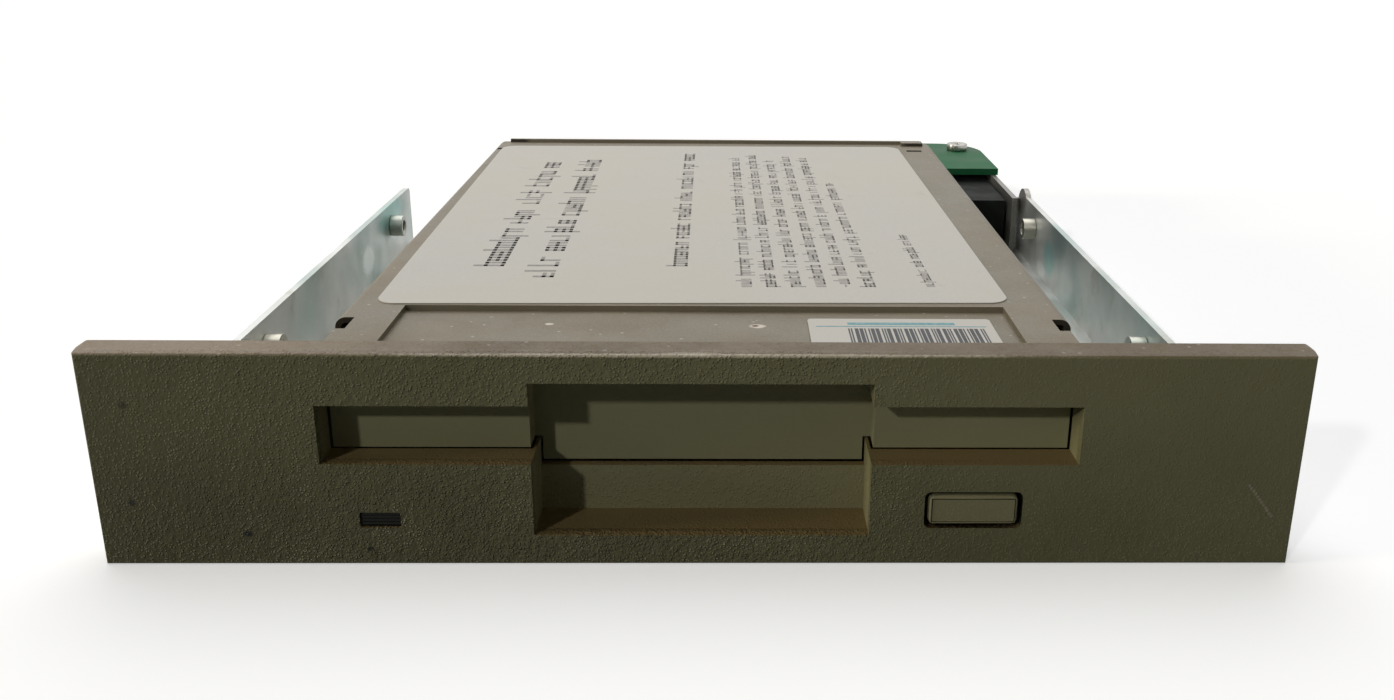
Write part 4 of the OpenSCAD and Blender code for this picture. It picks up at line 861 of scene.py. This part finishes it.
def print_marks(line, rear, front, height, seed):
    """Marks of one line of print that stands for words and spells none: cells from the front to the rear,
    in runs of three to eight with an empty cell between runs. By seeded chance a cell has a stem at either
    side, the first one now and then tall or hanging, and thin bars at its top, middle and base. Rows are
    (along, along, across, across)."""
    rng = np.random.default_rng(seed)
    pitch, width, pen, thin, low, mid = (share * height for share in (0.62, 0.5, 0.17, 0.12, 0.66, 0.28))
    count = int((front - rear) / pitch)
    spaces = np.cumsum(rng.integers(3, 9, count) + 1) - 1
    cells = front - pitch * np.setdiff1d(np.arange(count), spaces)
    ends = cells - width
    base = np.full(len(cells), line)
    top = base - low
    tall = np.where(rng.random(len(cells)) < 0.3, base - height, top)
    hanging = np.where(rng.random(len(cells)) < 0.12, base + 0.27 * height, base)
    strokes = [
        (0.95, (cells - pen, cells, tall, hanging)),
        (0.7, (ends, ends + pen, top, base)),
        (0.6, (ends, cells, top, top + thin)),
        (0.3, (ends, cells, top + mid, top + mid + thin)),
        (0.5, (ends, cells, base - thin, base)),
    ]
    return np.concatenate([np.stack(rows, -1)[rng.random(len(cells)) < chance] for chance, rows in strokes])


def add_label_print():
    """Grey print on the large label as marks only, in lines from rear to front as in the photograph."""
    lines = [(15.4, 18, 99, 4.8), (23.8, 13, 105, 4.8), (44.0, 7, 99, 3.4)]
    lines += [(53.8 + 3.7 * k, rear, 110, 2.4) for k, rear in enumerate((12, 9, 16, 10, 13, 38))]
    lines += [(81.2, 79, 110, 1.9)]
    marks = np.concatenate([print_marks(*line, 20 + i) for i, line in enumerate(lines)])
    near, far, left, right = marks.T
    corners = ((far, left), (far, right), (near, right), (near, left))
    flat = np.stack([np.stack(label_points(*corner), -1) for corner in corners], 1)
    low = np.concatenate([flat, np.full((*flat.shape[:2], 1), COVER_Z + LABEL_T - SUNK)], -1)
    points = np.concatenate([low, low + (0, 0, SUNK + INK)], 1).reshape(-1, 3)
    sides = [[3, 2, 1, 0], [4, 5, 6, 7], [0, 1, 5, 4], [1, 2, 6, 5], [2, 3, 7, 6], [3, 0, 4, 7]]
    add_piece("label_print", (points, repeated(sides, 8, len(marks))), "ink", smooth=False)


def add_barcode():
    """Bars of the small label from a fixed formula, a plain teal rule and a shorter, broader one."""
    k = np.arange(34)
    widths = 0.22 + 0.16 * ((k * k * 3 + 5 * k) % 4)
    gaps = 0.15 + 0.1 * ((k * 7 + k * k) % 3)
    lows = np.cumsum(widths + gaps) - widths - gaps
    scale = 18.6 / (lows[-1] + widths[-1])
    x = 19.5 + lows * scale
    top = PANEL_Z + LABEL_T
    heights = (top - SUNK, top + INK)
    bars = spans((x, x + widths * scale), (14.8, 20.4), heights)
    rules = spans(((15.2, 19.6), (38.6, 34.4)), ((21.1, 21.9), (21.4, 22.9)), heights)
    add_piece("code_bars", bars, "black_ink", smooth=False)
    add_piece("teal_rule", rules, "teal_ink", smooth=False)


def solder_cones(xs, ys, z, up):
    """Solder joints: rings of radius r(h) = 0.62 * (1 - h) ** 1.6 + 0.24, closed at both ends."""
    rows, sides, tall = 5, 10, 0.9
    h = np.linspace(0, 1, rows)[:, None]
    radius = 0.62 * (1 - h) ** 1.6 + 0.24
    angle = ring_angles(sides)
    height = np.repeat(h * tall * up, sides, 1)
    ring = np.stack([radius * np.cos(angle), radius * np.sin(angle) * up, height], -1)
    centres = np.stack([xs, ys, np.full_like(xs, z)], -1)
    points = (centres[:, None, None] + ring[None]).reshape(-1, 3)
    each = rows * sides
    caps = [np.arange(sides)[::-1], np.arange(each - sides, each)]
    return points, repeated(grid_quads(rows, sides), each, len(xs)) + repeated(caps, each, len(xs))


def add_solder():
    """Solder joints on the adapter board's top, and under the two boards in the drive."""
    top_rows = [(21, 157.4, 17, 2), (21, 190.2, 17, 2), (54.3, 174.5, 2, 5, 3.0)]
    low_rows = [(21, 140.2, 17, 2), (-38.5, 140.4, 4, 1), (0, 99.5, 9, 1), (-24, 134, 4, 1), (-20, 40, 6, 2),
                (20, 88, 8, 1)]
    root = 0.03
    cones = [solder_cones(*rows_of(*row), ADAPTER_TOP - root, 1) for row in top_rows]
    cones += [solder_cones(*rows_of(*row), BOARD_LOW + root, -1) for row in low_rows]
    add_piece("solder_joints", joined(cones), "solder")


def add_board_parts():
    """Small parts on the boards: rounded bodies and tinned ends on a seeded scatter over free places."""
    rng = np.random.default_rng(7)
    long, short, body_share, end_share, stray = 1.0, 0.62, 0.6, 0.94, 0.18
    fields = [((0, 48), (164, 186), ADAPTER_TOP, 1, 46), ((-44, 44), (104, 132), BOARD_LOW, -1, 70),
              ((-30, 30), (44, 84), BOARD_LOW, -1, 46)]
    bodies, ends = [], []
    for (x0, x1), (y0, y1), z, up, count in fields:
        columns = int(math.sqrt(count * (x1 - x0) / (y1 - y0)))
        lines = count // columns
        i, j = np.meshgrid(np.arange(columns), np.arange(lines), indexing="ij")
        x = x0 + (i.ravel() + 0.5 + rng.uniform(-stray, stray, i.size)) * (x1 - x0) / columns
        y = y0 + (j.ravel() + 0.5 + rng.uniform(-stray, stray, i.size)) * (y1 - y0) / lines
        keep = rng.random(i.size) < 0.72
        x, y = x[keep], y[keep]
        crosswise = rng.random(len(x)) < 0.5
        half_x, half_y = np.where(crosswise, short, long), np.where(crosswise, long, short)
        tall = rng.uniform(0.5, 0.9, len(x)) * up
        inner_x = np.where(crosswise, half_x, half_x * body_share)
        inner_y = np.where(crosswise, half_y * body_share, half_y)
        for store, a, b, grow in ((bodies, inner_x, inner_y, 1.0), (ends, half_x, half_y, end_share)):
            foot, head = z - SUNK * up, z + tall * grow
            heights = (np.minimum(foot, head), np.maximum(foot, head))
            store.append(spans((x - a * grow, x + a * grow), (y - b * grow, y + b * grow), heights))
    bevel(add_piece("part_bodies", joined(bodies), "ceramic", smooth=False), 0.1, 1)
    bevel(add_piece("part_ends", joined(ends), "solder", smooth=False), 0.1, 1)


# Stage

def make_stage():
    """A floor that is dark to bounced light, so that only lamps shape the front, and pale to eye and gloss."""
    half = 6.0
    corners = [(-half, -half, 0), (half, -half, 0), (half, half, 0), (-half, half, 0)]
    mesh = bpy.data.meshes.new("floor")
    mesh.from_pydata(corners, [], [(0, 1, 2, 3)])
    floor = bpy.data.objects.new("floor", mesh)
    bpy.context.scene.collection.objects.link(floor)
    material = bpy.data.materials.new("floor")
    material.use_nodes = True
    nodes = Nodes(material.node_tree)
    nodes.tree.nodes.clear()
    dim = nodes.add("ShaderNodeBsdfDiffuse", Color=(0.05, 0.05, 0.048, 1))
    pale = nodes.add("ShaderNodeBsdfDiffuse", Color=(0.8, 0.8, 0.8, 1))
    glow = nodes.add("ShaderNodeEmission", Color=(1, 1, 1, 1), Strength=0.42)
    white = nodes.add("ShaderNodeAddShader", i0=pale.outputs[0], i1=glow.outputs[0])
    end_tree(nodes, dim, white, "ShaderNodeOutputMaterial")
    mesh.materials.append(material)


def make_world(ambient):
    """A white surround for the eye and for gloss, and a dim one as light."""
    world = bpy.data.worlds.new("surround")
    bpy.context.scene.world = world
    world.use_nodes = True
    nodes = Nodes(world.node_tree)
    nodes.tree.nodes.clear()
    dim = nodes.add("ShaderNodeBackground", Color=(1.0, 0.99, 0.96, 1), Strength=ambient)
    white = nodes.add("ShaderNodeBackground", Color=(1, 1, 1, 1), Strength=1.0)
    end_tree(nodes, dim, white, "ShaderNodeOutputWorld")


def end_tree(nodes, bounced, seen, output):
    """Ends a tree with one shader for bounced light and another for rays from eye, gloss and glass."""
    path = nodes.add("ShaderNodeLightPath").outputs
    eye = nodes.plus(path["Is Camera Ray"], path["Is Glossy Ray"])
    direct = nodes.plus(eye, path["Is Transmission Ray"], True)
    mix = nodes.add("ShaderNodeMixShader", i0=direct, i1=bounced.outputs[0], i2=seen.outputs[0])
    nodes.add(output, Surface=mix.outputs[0])


def add_sun(name, travel, level, spread, colour=(1, 1, 1)):
    """A sun that shines along a direction, at a level where 1 lights a face square to it as written."""
    data = bpy.data.lights.new(name, "SUN")
    data.energy, data.angle, data.color = level * math.pi, math.radians(spread), colour
    back = -np.asarray(travel, float) / np.linalg.norm(travel)
    side = np.cross((0.0, 0.0, 1.0), back)
    side /= np.linalg.norm(side)
    stand(name, data, side, np.cross(back, side), back)


make_camera()
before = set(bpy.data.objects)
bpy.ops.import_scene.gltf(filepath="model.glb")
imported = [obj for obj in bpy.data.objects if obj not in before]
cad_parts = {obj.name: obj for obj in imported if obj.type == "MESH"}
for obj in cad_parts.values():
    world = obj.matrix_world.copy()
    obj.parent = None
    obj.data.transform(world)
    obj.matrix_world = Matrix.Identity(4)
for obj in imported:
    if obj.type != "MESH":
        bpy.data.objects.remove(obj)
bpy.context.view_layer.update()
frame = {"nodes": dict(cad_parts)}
bpy.context.scene.view_settings.view_transform = "Standard"
make_stage()
make_world(0.04)
add_sun("key", (0.76, 1.0, -0.70), 0.223, 3)
add_sun("top", (0.1, -0.55, -1.0), 0.6, 70)
add_sun("left", (1.0, 0.12, -0.2), 0.4, 12, (1.0, 0.9, 0.7))

EFFECTS = {"grain": grain_effect(), "dust": dust_effect(), "sheet": sheet_effect(),
           "passivation": passivation_effect(), "mark": mark_effect(), "tracks": tracks_effect()}
FINISHES = make_materials()
dress_nodes(frame["nodes"])
add_springs()
add_windings()
add_nut_threads()
add_motor_cap()
add_boxes()
add_pins()
add_flex()
add_label_print()
add_barcode()
add_solder()
add_board_parts()
